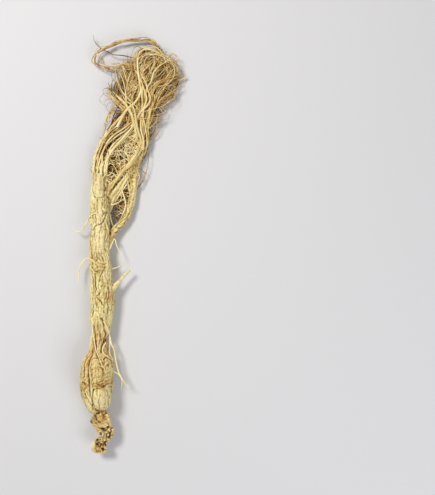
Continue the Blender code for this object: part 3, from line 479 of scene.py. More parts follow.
# The photo's frame in pixels, the pixel over the origin, and what a pixel covers at the root in millimetres.
FRAME_WIDTH = 435
FRAME_HEIGHT = 495
ORIGIN_PIXEL = (100, 294)
PIXEL = 0.6
ROOT_MIDDLE = 7.0  # the height that the scale is right for
LENS = 50.0
SENSOR = 36.0
NEAREST = 0.01  # metres from the camera to the nearest thing that it sees
FLOOR_SIZE = 3.0  # metres from the middle to each side
FLOOR_DROP = 0.05  # how far the floor is under the root, so that the two don't flicker
# Two soft lamps: place and aim in metres, size, watts and colour.
LAMPS = {
    "softbox": ((-0.35, 0.4, 0.7), (0.02, 0.04, 0.0), 0.26, 5.7, "#FFFBF4"),
    "fill": ((0.45, -0.42, 0.5), (0.02, -0.02, 0.0), 0.5, 2.3, "#F8F9FA"),
}
SKY = ("#F6F7FA", 0.36)


def spline(knots, step):
    """Rows on the smooth curve through the knots, about step apart along their first three values."""
    knots = np.array(knots, float)
    rows = []
    for i in range(len(knots) - 1):
        a, b, c, d = (knots[min(max(i + k, 0), len(knots) - 1)] for k in (-1, 0, 1, 2))
        count = max(1, round(float(np.linalg.norm(c[:3] - b[:3])) / step))
        t = (np.arange(count) / count)[:, None]
        rows.append(
            0.5 * (2 * b + (c - a) * t + (2 * a - 5 * b + 4 * c - d) * t**2 + (3 * b - a - 3 * c + d) * t**3)
        )
    rows.append(knots[-1:])
    return np.vstack(rows)


def lengths(points):
    """How far along its route each point is."""
    gaps = np.linalg.norm(np.diff(points, axis=0), axis=1)
    return np.concatenate([[0.0], np.cumsum(gaps)])


class Noise:
    """Smooth noise between about -1 and 1, which repeats for the same seed."""

    GAIN = 1.6  # what its slopes are raised by, to reach that far

    def __init__(self, seed):
        draw = np.random.default_rng(seed)
        self.order = np.tile(draw.permutation(256), 3)
        slopes = draw.normal(size=(256, 3))
        self.slopes = slopes / np.linalg.norm(slopes, axis=1, keepdims=True)

    def __call__(self, places):
        low = np.floor(places).astype(int)
        part = places - low
        ease = part**3 * (part * (part * 6 - 15) + 10)
        total = np.zeros(len(places))
        for corner in np.ndindex(2, 2, 2):
            at = (low + corner) & 255
            index = self.order[self.order[self.order[at[:, 0]] + at[:, 1]] + at[:, 2]]
            rise = np.einsum("ij,ij->i", self.slopes[index], part - corner)
            total += rise * np.prod(np.where(corner, ease, 1 - ease), axis=1)
        return total * self.GAIN


FURROWS, WRINKLES, CRACKS, LUMPS, WARP, STRAY = (Noise(seed) for seed in (11, 12, 13, 14, 15, 21))


class Strand:
    """The body, the crown or a leg: its axis, its half widths and heights, and a frame along it."""

    BATCH = 20000  # how many points are placed at a time

    def __init__(self, name, rows):
        self.name = name
        self.kind = name if name in RELIEF else "leg"
        self.axis = rows[:, :3]
        self.width = rows[:, 3]
        self.height = rows[:, 4]
        tangent = np.gradient(self.axis, axis=0)
        self.tangent = tangent / np.linalg.norm(tangent, axis=1, keepdims=True)
        across = np.cross(self.tangent, (0.0, 0.0, 1.0))
        self.across = across / np.linalg.norm(across, axis=1, keepdims=True)
        self.up = np.cross(self.across, self.tangent)
        self.girth = float(np.median(np.sqrt(self.width * self.height)))
        self.along = lengths(self.axis)

    def skin(self, sides):
        """Rings of points on the smooth skin."""
        turn = np.linspace(0, math.tau, sides, endpoint=False)
        rings = self.axis[:, None] + (
            self.across[:, None] * (self.width[:, None] * np.cos(turn))[..., None]
            + self.up[:, None] * (self.height[:, None] * np.sin(turn))[..., None]
        )
        rings[..., 2] = np.maximum(rings[..., 2], 0.0)
        return rings

    def place(self, points):
        """How far along the strand each point is, the way out to it, its height over it, and the radius."""
        nearest = np.concatenate([
            ((points[start : start + self.BATCH, None] - self.axis[None]) ** 2).sum(axis=2).argmin(axis=1)
            for start in range(0, len(points), self.BATCH)
        ])
        off = points - self.axis[nearest]
        sideways = np.einsum("ij,ij->i", off, self.across[nearest]) / self.width[nearest]
        upwards = np.einsum("ij,ij->i", off, self.up[nearest]) / self.height[nearest]
        forwards = np.einsum("ij,ij->i", off, self.tangent[nearest])
        size = np.hypot(sideways, upwards) + TINY
        radius = np.sqrt(self.width[nearest] * self.height[nearest])
        over = np.maximum((size - 1) * radius, np.abs(forwards) - ROW_STEP)
        out = np.stack([sideways / size, upwards / size], axis=1)
        return self.along[nearest] + forwards, out, over, radius


def body_rows():
    """The body's rows of x, y, z, half width and half height, a millimetre apart."""
    return spline([(x, y, z, width, height) for y, x, width, height, z in BODY], ROW_STEP)


def leg_rows(route, flatness=1.0, step=ROW_STEP):
    """The same rows for a round strand, kept off the floor."""
    rows = spline(route, step)
    rows[:, 2] = np.maximum(rows[:, 2], rows[:, 3] * flatness + FLOOR_GAP)
    return np.hstack([rows, rows[:, 3:4] * flatness])


def fold_rows(route):
    """The same rows for a fold on the crown."""
    rows = spline(route, CROWN_STEP)
    return np.hstack([rows, rows[:, 3:4]])


def rim_rows():
    """The same rows for the round scar's rim, a full turn round."""
    x, y, z, radius, thickness, tilt = RIM
    turn = np.linspace(0, math.tau, RIM_POINTS)
    over, up = radius * np.cos(turn), radius * np.sin(turn)
    thick = thickness * (1 + RIM_SWELL[0] * np.sin(2 * turn + RIM_SWELL[1]))
    return np.column_stack([x + over, y + up, z + tilt * over, thick, thick])


def cup_rings(centre, facing, radius):
    """A stem scar's cup: a foot in the crown, a raised rim and a dish that faces out."""
    turn = Vector(facing).to_track_quat("Z", "Y").to_matrix()
    uneven, lobes, twist = CUP_LOBES
    rings = []
    for share, height in CUP:
        ring = []
        for k in range(CUP_SIDES):
            angle = math.tau * k / CUP_SIDES
            reach = share * radius * (1 + uneven * math.sin(lobes * angle + radius * twist))
            way_out = turn @ Vector((math.cos(angle), math.sin(angle), 0))
            ring.append(np.array(Vector(centre) + way_out * reach + turn @ Vector((0, 0, height))))
        rings.append(ring)
    return rings


def knob_rings(x, y, z, radius):
    """A round knob as level rings of points."""
    turn = np.linspace(0, math.tau, KNOB_SIDES, endpoint=False)
    flat = np.column_stack([np.cos(turn), np.sin(turn), np.zeros(KNOB_SIDES)])
    return [(x, y, z) + radius * (math.cos(rise) * flat + (0, 0, math.sin(rise)))
            for rise in np.linspace(-KNOB_END, KNOB_END, KNOB_RINGS)]


def in_scene(name, data):
    """A new object with this data, in the scene."""
    made = bpy.data.objects.new(name, data)
    bpy.context.scene.collection.objects.link(made)
    return made


def mesh_object(name, mesh):
    """A bmesh as an object of its own."""
    data = bpy.data.meshes.new(name)
    mesh.to_mesh(data)
    mesh.free()
    return in_scene(name, data)


def applied(piece):
    """Turns a piece's modifiers into its mesh."""
    graph = bpy.context.evaluated_depsgraph_get()
    baked = bpy.data.meshes.new_from_object(piece.evaluated_get(graph))
    piece.modifiers.clear()
    piece.data = baked
    return piece


def add_closed_skin(mesh, rings):
    """Adds a closed skin over rings of points in millimetres to a bmesh in metres."""
    made = [[mesh.verts.new(point * MM) for point in ring] for ring in rings]
    sides = len(rings[0])
    for near, far in zip(made, made[1:]):
        for k in range(sides):
            j = (k + 1) % sides
            mesh.faces.new((near[k], near[j], far[j], far[k]))
    mesh.faces.new(made[0][::-1])
    mesh.faces.new(made[-1])


def fused_skin(name, skins, grain):
    """Closed skins of rings of points, fused into one even skin of small faces."""
    mesh = bmesh.new()
    for rings in skins:
        add_closed_skin(mesh, rings)
    bmesh.ops.recalc_face_normals(mesh, faces=mesh.faces)
    skin = mesh_object(name, mesh)
    fuse = skin.modifiers.new("fuse", "REMESH")
    fuse.mode = "VOXEL"
    fuse.voxel_size = grain * MM
    return applied(skin)


def furrow_net(noise, places, width):
    """1 along the lines where the noise crosses zero, falling to 0 beside them: a net of furrows."""
    return np.exp(-((np.abs(noise(places)) / width) ** NET_EDGE))


def bell(distance, width=1.0):
    """1 at no distance, falling smoothly to 0 past the width."""
    return np.exp(-((distance / width) ** 2))


def oval(points, x, y, reach_x, reach_y):
    """How far out each point is in an oval, seen from above: 0 in its middle, 1 at its edge."""
    return np.hypot((points[:, 0] - x) / reach_x, (points[:, 1] - y) / reach_y)


def patches(points, rows):
    """The sum of soft oval patches at each point: rows of x, y, half sizes and strength."""
    return sum(strength * bell(oval(points, *place)) for *place, strength in rows)


def calmed(points):
    """The share of the skin's own furrows that is left at each point."""
    return np.prod([1 - (1 - left) * bell(oval(points, *place)) for *place, left in CALM], axis=0)


def strand_relief(strand, number, along, out, radius, calm):
    """How high the strand's skin is over the smooth one, from its furrows, wrinkles, cracks and lumps."""
    furrow, fine, across, lumps = RELIEF[strand.kind]
    shift = np.array([0.0, 0.0, STRAND_SHIFT * number])

    def around(spacing, stretch):
        """Places on a cylinder, so that the pattern closes on itself round the strand."""
        reach = strand.girth / spacing
        return np.column_stack([out * reach, along / (spacing * stretch)]) + shift

    drift = 0
    for spacing, stretch, reach in WAVES:
        waves = around(spacing, stretch)
        drift = drift + np.column_stack([WARP(waves), WARP(waves + WAVE_SHIFT), 0 * along]) * reach

    def net(noise, spacing, stretch, width):
        """A net of furrows that follow the waves."""
        return furrow_net(noise, around(spacing, stretch) + drift / spacing, width)

    depth = FADING_DEPTH + FADING_DEPTH * LUMPS(around(*FADING) + FADING_SHIFT)
    if strand.kind == "body":
        depth *= TOP_SHARE + (1 - TOP_SHARE) * np.abs(out[:, 0])
    height = lumps[0] * LUMPS(around(*lumps[1:])) - fine[0] * net(WRINKLES, *fine[1:])
    height = (height - across[0] * net(CRACKS, *across[1:])) * (CALM_FINE + (1 - CALM_FINE) * calm)
    height -= furrow[0] * depth * calm * net(FURROWS, *furrow[1:])
    return height * np.minimum(radius / SWELL_RADIUS, 1.0)


def route_gap(places, route):
    """How far each place is from a route of straight pieces."""
    best = np.full(len(places), np.inf)
    for a, b in zip(route[:-1], route[1:]):
        way = b - a
        share = np.clip(((places - a) @ way) / (way @ way), 0, 1)
        best = np.minimum(best, np.linalg.norm(places - a - share[:, None] * way, axis=1))
    return best


def drawn(points, lines):
    """Grooves and low ridges along their own routes."""
    flat = points[:, :2]
    places = points / SWING_SPACING
    swing = np.column_stack([WARP(places), WARP(places + SWING_SHIFT)]) * LINE_SWING
    height = np.zeros(len(points))
    for depth, half_width, route in lines:
        route = spline([(x, y, 0.0) for x, y in route], LINE_STEP)[:, :2]
        reach = LINE_REACH * half_width
        low, high = route.min(axis=0) - reach, route.max(axis=0) + reach
        near = np.all((flat > low) & (flat < high), axis=1)
        gap = route_gap((flat + swing)[near], route)
        height[near] -= depth * np.exp(-((gap / half_width) ** LINE_EDGE))
    return height


def upper_forms(strand, points, out):
    """What belongs to one place on a strand's upper side: its grooves, ridges and bulges."""
    height = drawn(points, CROWN_LINES if strand.kind == "crown" else CLEFTS)
    if strand.kind == "body":
        height += drawn(points, LINES)
        height += sum(rise * np.exp(-(oval(points, *place) ** LOBE_EDGE)) for *place, rise in LOBES)
    return height * np.clip((out[:, 1] + FLANK[0]) / FLANK[1], 0, 1)


def relief(points, strands):
    """What each point gets from the strands, shared where they meet.

    That is the height over the smooth skin, places in millimetres round and along the nearest strand, and
    how brown the skin is.
    """
    total, brown, best = np.zeros((3, len(points)))
    weights = np.full(len(points), TINY)
    fibre = np.zeros((len(points), 3))
    for number, strand in enumerate(strands):
        along, out, over, radius = strand.place(points)
        weight = bell(np.maximum(over, 0.0), MEETING[strand.kind])
        near = weight > FAINTEST
        calm = calmed(points[near]) if strand.kind != "leg" else 1.0
        height = np.zeros(len(points))
        height[near] = strand_relief(strand, number, along[near], out[near], radius[near], calm)
        height[near] += upper_forms(strand, points[near], out[near])
        total += weight * height
        brown += weight * BROWN.get(strand.name, 0.0)
        closer = weight > best
        fibre[closer] = np.column_stack([out * strand.girth, along + FIBRE_SHIFT * number])[closer]
        best = np.maximum(best, weight)
        weights += weight
    return total / weights, fibre, brown / weights


def read(items, name, kind=float):
    """A mesh's own numbers as rows: of its points or edges, by name."""
    width = 2 if name == "vertices" else 3
    flat = np.empty(len(items) * width, kind)
    items.foreach_get(name, flat)
    return flat.reshape(-1, width)


def write_points(data, points):
    """Moves a mesh's points to places in millimetres."""
    data.vertices.foreach_set("co", (points * MM).ravel())
    data.update()


def store(data, name, values):
    """Keeps a value or a vector for each point of a mesh, for its material or nodes to read."""
    kind, field = ("FLOAT_VECTOR", "vector") if values.ndim == 2 else ("FLOAT", "value")
    data.attributes.new(name, kind, "POINT").data.foreach_set(field, values.astype(np.float32).ravel())


def eased(values, pairs, times):
    """The values, averaged with their neighbours a number of times."""
    count = np.bincount(pairs.ravel(), minlength=len(values)).astype(float)
    for _ in range(times):
        total = np.zeros_like(values)
        np.add.at(total, pairs[:, 0], values[pairs[:, 1]])
        np.add.at(total, pairs[:, 1], values[pairs[:, 0]])
        mean = total / (count[:, None] if values.ndim == 2 else count)
        values = 0.5 * values + 0.5 * mean
    return values


def wrinkle(skin, strands, grain, deep):
    """Gives a fused skin its relief, and notes each point's depth, browning, stains and painted light."""
    data = skin.data
    pairs = read(data.edges, "vertices", int)
    points = eased(read(data.vertices, "co") / MM, pairs, SEAM_EASING)
    write_points(data, points)
    height, fibre, brown = relief(points, strands)
    points = points + read(data.vertices, "normal") * height[:, None]
    points[:, 2] = np.maximum(points[:, 2], 0.0)
    write_points(data, points)
    # How deep each point lies among its neighbours, for the painted light on ridges and shade in furrows.
    around = eased(points, pairs, round(HOLLOW_EASING * (GRAIN / grain) ** 2))
    hollow = np.einsum("ij,ij->i", around - points, read(data.vertices, "normal"))
    store(data, "hollow", eased(np.clip(hollow / deep, -1, 1), pairs, 1))
    neck = np.clip((NECK[0] - points[:, 1]) / NECK[1] + 0.5, 0, 1)
    brown = np.where(points[:, 1] < NECK[0], 0, brown) + patches(points, TANS)
    store(data, "brown", np.clip(neck + (1 - neck) * brown, 0, 1))
    store(data, "fibre", fibre * MM)
    # Stains, with the painted highlight along the crown flap's rim and the painted shade under it.
    store(data, "stain_and_painted_light", patches(points, STAINS_AND_PAINTED_LIGHT) * (points[:, 2] > STAINED_FROM))
    data.shade_smooth()


def brush(y):
    """The brush's middle and half width at each y."""
    at, middle, reach = np.array(BEARD, float).T
    return np.interp(y, at, middle), np.interp(y, at, reach)


def brush_heading(places, lanes):
    """The way rootlets tend to grow: along the brush, each in its lane, and round to a side at its top."""
    middle, reach = brush(places[:, 1] + LOOK_AHEAD)
    heading = np.arctan2(LOOK_AHEAD, middle + lanes * reach - places[:, 0])
    turn = TURN_ANGLE * np.clip((places[:, 1] - TURN_START) / TURN_SPAN, 0, 1)
    return heading + np.where(lanes < TURN_LANE, turn, -turn)


def brush_share(places):
    """How far out in the brush each place is: 0 in the middle, 1 at its edge."""
    middle, reach = brush(places[:, 1])
    over = np.maximum(places[:, 1] - BEARD_TOP[0], 0) / BEARD_TOP[1]
    under = np.maximum(BEARD_FOOT[0] - places[:, 1], 0) / BEARD_FOOT[1]
    return np.sqrt(((places[:, 0] - middle) / reach) ** 2 + over**2 + under**2)


def nest_share(places, nest):
    """The same for a tangle."""
    x, y, reach_x, reach_y, lean = nest
    up = places[:, 1] - y
    return np.hypot((places[:, 0] - x - lean * up) / reach_x, up / reach_y)


def home(places, nest):
    """How far out in the brush, or in the tangle, each place is, and the way back in."""
    if nest:
        return nest_share(places, nest), np.arctan2(nest[1] - places[:, 1], nest[0] - places[:, 0])
    heart, draw_in = BEARD_HEART
    up = np.clip(heart - places[:, 1], -draw_in, draw_in)
    return brush_share(places), np.arctan2(up, brush(places[:, 1])[0] - places[:, 0])


def tapered(points, radius):
    """The points with a radius that shrinks along them and runs out into a point."""
    along = lengths(points)
    left = np.minimum((along[-1] - along) / TIP, 1.0)
    slim = radius * (1 - SLIMMING * along / along[-1])
    return np.column_stack([points, slim * (TIP_SHARE + (1 - TIP_SHARE) * left)])


def off_the_floor(rows):
    """Eases low points up, so that nothing sinks into the floor."""
    height = rows[:, 2] - rows[:, 3]
    eased_up = SOFT_FLOOR * np.exp(np.minimum(height, SOFT_FLOOR) / SOFT_FLOOR - 1)
    rows[:, 2] = np.where(height < SOFT_FLOOR, eased_up, height) + rows[:, 3]
    return rows


def grown(starts, headings, size, draw):
    """Rootlets that wander from the starts: a list of rows of x, y, z and radius."""
    count, step, bending, nest = len(starts), size["step"], size["bend"], size.get("nest")
    length = draw.uniform(*size["length"], count)
    thin, thick = size["radius"]
    girth = thin + (thick - thin) * draw.uniform(0, 1, count) ** THINNING
    level = draw.uniform(*size["level"], count)
    group = np.arange(count) // size["company"]
    own = OWN_BEND if size["company"] > 1 else 1.0

    def swerve():
        """A new bend for each rootlet, partly shared with its company."""
        return (1 - own) * draw.normal(size=group[-1] + 1)[group] + own * draw.normal(size=count)

    bend = swerve() * bending
    lanes = draw.uniform(-LANES, LANES, group[-1] + 1)[group] + LANE_SPREAD * draw.normal(size=count)
    lift = np.zeros(count)
    place, heading = starts.copy(), headings.copy()
    path = [place]
    for _ in range(round(size["length"][1] / step)):
        bend = BEND_KEPT * bend + BEND_NEW * bending * swerve()
        off, inward = home(place, nest)
        heading = heading + step * (
            bend + size["pull"] * np.sin(brush_heading(place, lanes) - heading)
            + EDGE_PUSH * np.clip(off - EDGE, 0, PUSH_LIMIT) * np.sin(inward - heading)
        )
        climb = np.clip(CLIMB * (level - place[:, 2]), -STEEPEST, STEEPEST)
        lift = CLIMB_KEPT * lift + CLIMB_NEW * climb + JITTER * draw.normal(size=count)
        place = place + step * np.column_stack([np.cos(heading), np.sin(heading), lift])
        path.append(place)
    rows = []
    for points, reach, radius in zip(np.stack(path, axis=1), length, girth):
        points = points[: max(FEWEST, round(reach / step))]
        beyond = home(points, nest)[0] > size["border"] + RAGGED * draw.normal()
        beyond[:FEWEST] = False
        if beyond.any():
            points = points[: beyond.argmax()]
        rows.append(off_the_floor(tapered(points, radius * (1 + KNOBBLY * draw.normal(size=len(points))))))
    return rows


def branching(parents, size, draw):
    """Where a size of rootlet leaves its parents, and the way it heads."""
    weights = np.array([len(rows) for rows in parents], float)
    starts, headings = [], []
    for number in range(size["count"]):
        if number % size["company"] == 0:
            rows = parents[draw.choice(len(parents), p=weights / weights.sum())]
            share = draw.uniform(*size["share"])
            side = draw.choice((-1, 1)) * draw.uniform(*size["spread"])
        apart = draw.uniform(-SIDE_BY_SIDE, SIDE_BY_SIDE)
        k = int(np.clip(share + apart, 0, LAST_START) * (len(rows) - 2))
        ahead = rows[k + 1] - rows[k]
        starts.append(rows[k, :3])
        headings.append(math.atan2(ahead[1], ahead[0]) + side + draw.normal() * HEADING_SPREAD)
    return np.array(starts), np.array(headings)


def round_the_nest(legs, size, draw):
    """Places on the legs round a tangle, each heading roughly into it."""
    rows, nest, count = np.vstack(legs), size["nest"], size["count"]
    border = np.abs(nest_share(rows, nest) - 1) * nest[2]
    starts = rows[border < NEST_BORDER, :3]
    starts = starts[draw.choice(len(starts), count)]
    turn = draw.choice((-1, 1), count) * draw.uniform(*size["spread"], count)
    return starts, np.arctan2(nest[1] - starts[:, 1], nest[0] - starts[:, 0]) + turn


def skin_height(rows, x, y):
    """How high the smooth body's upper skin is over x and y, from the body's rows."""
    k = int(np.abs(rows[:, 1] - y).argmin())
    off = (x - rows[k, 0]) / rows[k, 3]
    return rows[k, 2] + rows[k, 4] * math.sqrt(max(0.0, 1 - off * off))


def raised(route, heights):
    """A flat route with heights spread evenly over its points, to a tenth of a millimetre."""
    places = np.linspace(0, len(route) - 1, len(heights))
    return np.column_stack([route, np.round(np.interp(range(len(route)), places, heights), 1)])


def rootlets_with_routes():
    """The rootlets with a route of their own, and their tones."""
    made = []
    for radius, company, tone, heights, route in TOP_ROOTLETS:
        rows = spline(raised(route, heights), ROW_STEP)
        for number in range(company):
            shifts = [SWAY_SHIFTS[0] * number + SWAY_SHIFTS[1] * axis for axis in range(3)]
            drift = np.column_stack([STRAY(rows / SWAY_LENGTH + shift) for shift in shifts])
            made.append((tapered(rows + drift * SWAY * (company > 1), radius), tone))
    body = body_rows()
    for radius, route in BODY_ROOTLETS:
        rows = spline([(x, y, 0.0) for x, y in route], LAID_STEP)
        rows[:, 2] = [skin_height(body, x, y) + LAID_LIFT * radius for x, y, _ in rows]
        rows[0, 2] -= SUNK_START
        shared = np.ones(LAID_EASING) / LAID_EASING
        rows[:, 2] = np.convolve(np.pad(rows[:, 2], LAID_EASING // 2, "edge"), shared, "valid")
        made.append((tapered(rows, radius), LAID_TONE))
    return made


def paths_object(name, rootlets, tones):
    """Rootlets as bare paths, with each point's thickness and each rootlet's tone."""
    data = bpy.data.meshes.new(name)
    points = np.vstack(rootlets)
    edges, start = [], 0
    for rows in rootlets:
        edges += [(start + k, start + k + 1) for k in range(len(rows) - 1)]
        start += len(rows)
    data.from_pydata((points[:, :3] * MM).tolist(), edges, [])
    store(data, "thickness", points[:, 3] * MM)
    store(data, "tone", np.repeat(tones, [len(rows) for rows in rootlets]))
    return in_scene(name, data)


def linear(hex_colour):
    """An sRGB hex colour as a linear RGBA tuple."""
    parts = [int(hex_colour[i : i + 2], 16) / 255 for i in (1, 3, 5)]
    return (*[p / 12.92 if p <= 0.04045 else ((p + 0.055) / 1.055) ** 2.4 for p in parts], 1.0)


def first_output(made):
    """The first output of a node that is in use."""
    return next(s for s in made.outputs if s.enabled)


def node(tree, kind, settings=None, **links):
    """Adds a node of the tree's own family, with its settings and what goes into its inputs.

    An input is named by its identifier, with _ for a space. It gets a value, an output or a node, which
    stands for the first of its outputs in use.
    """
    made = tree.nodes.new(tree.bl_idname.replace("NodeTree", "Node") + kind)
    for name, value in (settings or {}).items():
        setattr(made, name, value)
    for name, value in links.items():
        socket = next(s for s in made.inputs if s.identifier.replace(" ", "_") == name)
        if isinstance(value, bpy.types.Node):
            value = first_output(value)
        if isinstance(value, bpy.types.NodeSocket):
            tree.links.new(value, socket)
        else:
            socket.default_value = value
    return made


def round_rootlets_tree():
    """Turns bare paths into round rootlets with closed ends. Inputs: sides and material."""
    tree = bpy.data.node_groups.new("round_rootlets", "GeometryNodeTree")
    for name, way, kind in (("Paths", "INPUT", "Geometry"), ("Sides", "INPUT", "Int"),
                            ("Skin", "INPUT", "Material"), ("Rootlets", "OUTPUT", "Geometry")):
        tree.interface.new_socket(name, in_out=way, socket_type=f"NodeSocket{kind}")
    given = tree.nodes.new("NodeGroupInput").outputs
    curve = node(tree, "MeshToCurve", Mesh=given["Paths"])
    thickness = node(tree, "InputNamedAttribute", {"data_type": "FLOAT"}, Name="thickness")
    circle = node(tree, "CurvePrimitiveCircle", Resolution=given["Sides"], Radius=1.0)
    tube = node(tree, "CurveToMesh", Curve=curve, Profile_Curve=circle, Scale=thickness, Fill_Caps=True)
    smooth = node(tree, "SetShadeSmooth", Geometry=tube)
    solid = node(tree, "RealizeInstances", Geometry=smooth)
    coat = node(tree, "SetMaterial", Geometry=solid, Material=given["Skin"])
    tree.links.new(coat.outputs["Geometry"], tree.nodes.new("NodeGroupOutput").inputs["Rootlets"])
    return tree


def run_nodes(piece, tree, settings):
    """Runs a tree on a piece with the given inputs, and keeps the result as its mesh."""
    modifier = piece.modifiers.new(tree.name, "NODES")
    modifier.node_group = tree
    for item in tree.interface.items_tree:
        if item.item_type == "SOCKET" and item.name in settings:
            modifier[item.identifier] = settings[item.name]
    return applied(piece)


def set_steps(ramp, steps):
    """Gives a colour ramp its steps of place and hex colour."""
    elements = ramp.color_ramp.elements
    while len(elements) < len(steps):
        elements.new(0.5)
    for element, (place, colour) in zip(elements, steps.items()):
        element.position = place
        element.color = linear(colour)
    return ramp


def new_material(name):
    """A material, its tree and its shader."""
    material = bpy.data.materials.new(name)
    material.use_nodes = True
    return material, material.node_tree, material.node_tree.nodes["Principled BSDF"]


def dried_skin():
    """Air-dried ginseng skin: matte and papery straw, paler on the ridges as painted light and ochre to
    brown in the furrows as painted shade.

    Streaks 0.9 mm apart run along the fibres, with broad bands, mottles and pores over them.
    """
    material, tree, shader = new_material("dried_ginseng_skin")
    where = node(tree, "TexCoord").outputs["Object"]
    fibre, hollow, brown, stain_and_painted_light = (node(tree, "Attribute", {"attribute_name": name}).outputs
                                   for name in ("fibre", "hollow", "brown", "stain_and_painted_light"))

    # Each pattern: where it lies, how far it is stretched along the root, its spacing in millimetres,
    # detail and distortion.
    patterns = {}
    for name, place, stretch, spacing, detail, distortion in (
        ("blotches", where, 1, 14.0, 3.0, 0.0), ("bands", fibre["Vector"], 5, 3.5, 1.0, 0.0),
        ("streaks", fibre["Vector"], 10, 0.9, 3.0, 0.2), ("pores", where, 1, 0.8, 3.0, 0.0),
        ("mottles", where, 1, 1.4, 2.0, 0.0),
    ):
        if stretch > 1:
            place = node(tree, "Mapping", Vector=place, Scale=(1.0, 1.0, 1 / stretch))
        patterns[name] = node(tree, "TexNoise", Vector=place, Scale=1 / (spacing * MM), Detail=detail,
                              Distortion=distortion)

    # Painted light and shade from how deep the skin lies, and how strongly each pattern darkens or lightens
    # it.
    depth = hollow["Fac"]
    for name, edge, strength in (("streaks", 0.3, 0.36), ("bands", 0.35, 0.16), ("mottles", 0.35, 0.2),
                                 ("pores", 0.35, 0.12)):
        part = node(tree, "MapRange", Value=patterns[name], From_Min=edge, From_Max=1 - edge,
                    To_Min=-strength, To_Max=strength)
        depth = node(tree, "Math", Value=depth, Value_001=part)
    depth = node(tree, "MapRange", Value=depth, From_Min=-1.0)
    # Both ramps run from painted light on the ridges to painted shade at the bottom of the furrows.
    straw = set_steps(node(tree, "ValToRGB", Fac=depth), {
        0.0: "#F8F1C2", 0.28: "#EFE3A9", 0.46: "#DAC886", 0.62: "#B69D5D", 0.8: "#846B39", 1.0: "#4D3918"})
    bark = set_steps(node(tree, "ValToRGB", Fac=depth), {
        0.0: "#F6E6B4", 0.25: "#E2CA8C", 0.5: "#C2A15C", 0.72: "#87652F", 1.0: "#36240F"})

    # The colours from straw to rust: what shares them out, how they blend, and the second colour of each.
    ranges = {
        "warm": node(tree, "MapRange", Value=patterns["blotches"], From_Min=0.42, From_Max=0.7, To_Max=0.25),
        # These also carry the painted shade under the crown's flap and the painted highlight on its rim.
        "rusty_and_painted_shade": node(tree, "MapRange", Value=stain_and_painted_light["Fac"], To_Max=0.9),
        "pale": node(tree, "MapRange", Value=stain_and_painted_light["Fac"], From_Min=-2.0, From_Max=0.0, To_Min=1.0,
                     To_Max=0.0),
    }
    colour = straw
    for share, blend, second in (
        (ranges["warm"], "MULTIPLY", linear("#C9A04F")), (brown["Fac"], "MIX", bark),
        (ranges["rusty_and_painted_shade"], "MULTIPLY", linear("#D8A562")), (ranges["pale"], "MIX", linear("#F5E4B4")),
    ):
        settings = {"data_type": "RGBA", "blend_type": blend}
        colour = node(tree, "Mix", settings, Factor_Float=share, A_Color=colour, B_Color=second)
    roughness = node(tree, "MapRange", Value=depth, To_Min=0.5, To_Max=0.85)
    rough = node(tree, "Bump", Strength=0.8, Distance=0.5 * MM, Height=patterns["pores"])
    fibres = node(tree, "Bump", Strength=0.6, Distance=0.4 * MM, Height=patterns["streaks"], Normal=rough)
    for name, made in (("Base Color", colour), ("Roughness", roughness), ("Normal", fibres)):
        tree.links.new(first_output(made), shader.inputs[name])
    shader.inputs["Specular IOR Level"].default_value = 0.35
    return material


def rootlet_skin():
    """Dry rootlets: a little glossier than the body, from pale straw to golden brown by their tone.

    Blotches 6 mm apart make them uneven.
    """
    material, tree, shader = new_material("dried_rootlet_skin")
    where = node(tree, "TexCoord").outputs["Object"]
    tone = node(tree, "Attribute", {"attribute_name": "tone"}).outputs["Fac"]
    blotches = node(tree, "TexNoise", Vector=where, Scale=1 / (6.0 * MM), Detail=3.0)
    uneven = node(tree, "MapRange", Value=blotches, From_Min=0.3, From_Max=0.7, To_Min=-0.18, To_Max=0.18)
    total = node(tree, "Math", Value=tone, Value_001=uneven)
    colour = set_steps(node(tree, "ValToRGB", Fac=total), {
        0.0: "#F8EAB8", 0.22: "#EAD496", 0.42: "#D1AF66", 0.62: "#AB803F", 0.82: "#765121", 1.0: "#45290E"})
    tree.links.new(colour.outputs["Color"], shader.inputs["Base Color"])
    shader.inputs["Roughness"].default_value = 0.55
    shader.inputs["Specular IOR Level"].default_value = 0.4
    return material


def pale_board():
    """A matt painted board: an even light grey that the root's soft shadow falls on."""
    material, _, shader = new_material("pale_board")
    shader.inputs["Base Color"].default_value = linear("#D6D6D9")
    shader.inputs["Roughness"].default_value = 0.8
    return material


def make_floor():
    """The board that the root lies on."""
    mesh = bmesh.new()
    bmesh.ops.create_grid(mesh, x_segments=1, y_segments=1, size=FLOOR_SIZE)
    bmesh.ops.translate(mesh, vec=(0, 0, -FLOOR_DROP * MM), verts=mesh.verts)
    floor = mesh_object("floor", mesh)
    floor.data.materials.append(pale_board())


def light_studio():
    """Two soft lamps and an even sky."""
    for name, (place, aim, size, power, colour) in LAMPS.items():
        light = bpy.data.lights.new(name, "AREA")
        light.shape = "DISK"
        light.size = size
        light.energy = power
        light.color = linear(colour)[:3]
        lamp = in_scene(name, light)
        lamp.location = place
        lamp.rotation_euler = (Vector(aim) - Vector(place)).to_track_quat("-Z", "Y").to_euler()
    sky = bpy.data.worlds.new("studio")
    bpy.context.scene.world = sky
    sky.use_nodes = True
    inputs = sky.node_tree.nodes["Background"].inputs
    inputs["Color"].default_value = linear(SKY[0])
    inputs["Strength"].default_value = SKY[1]
    bpy.context.scene.view_settings.view_transform = "Standard"


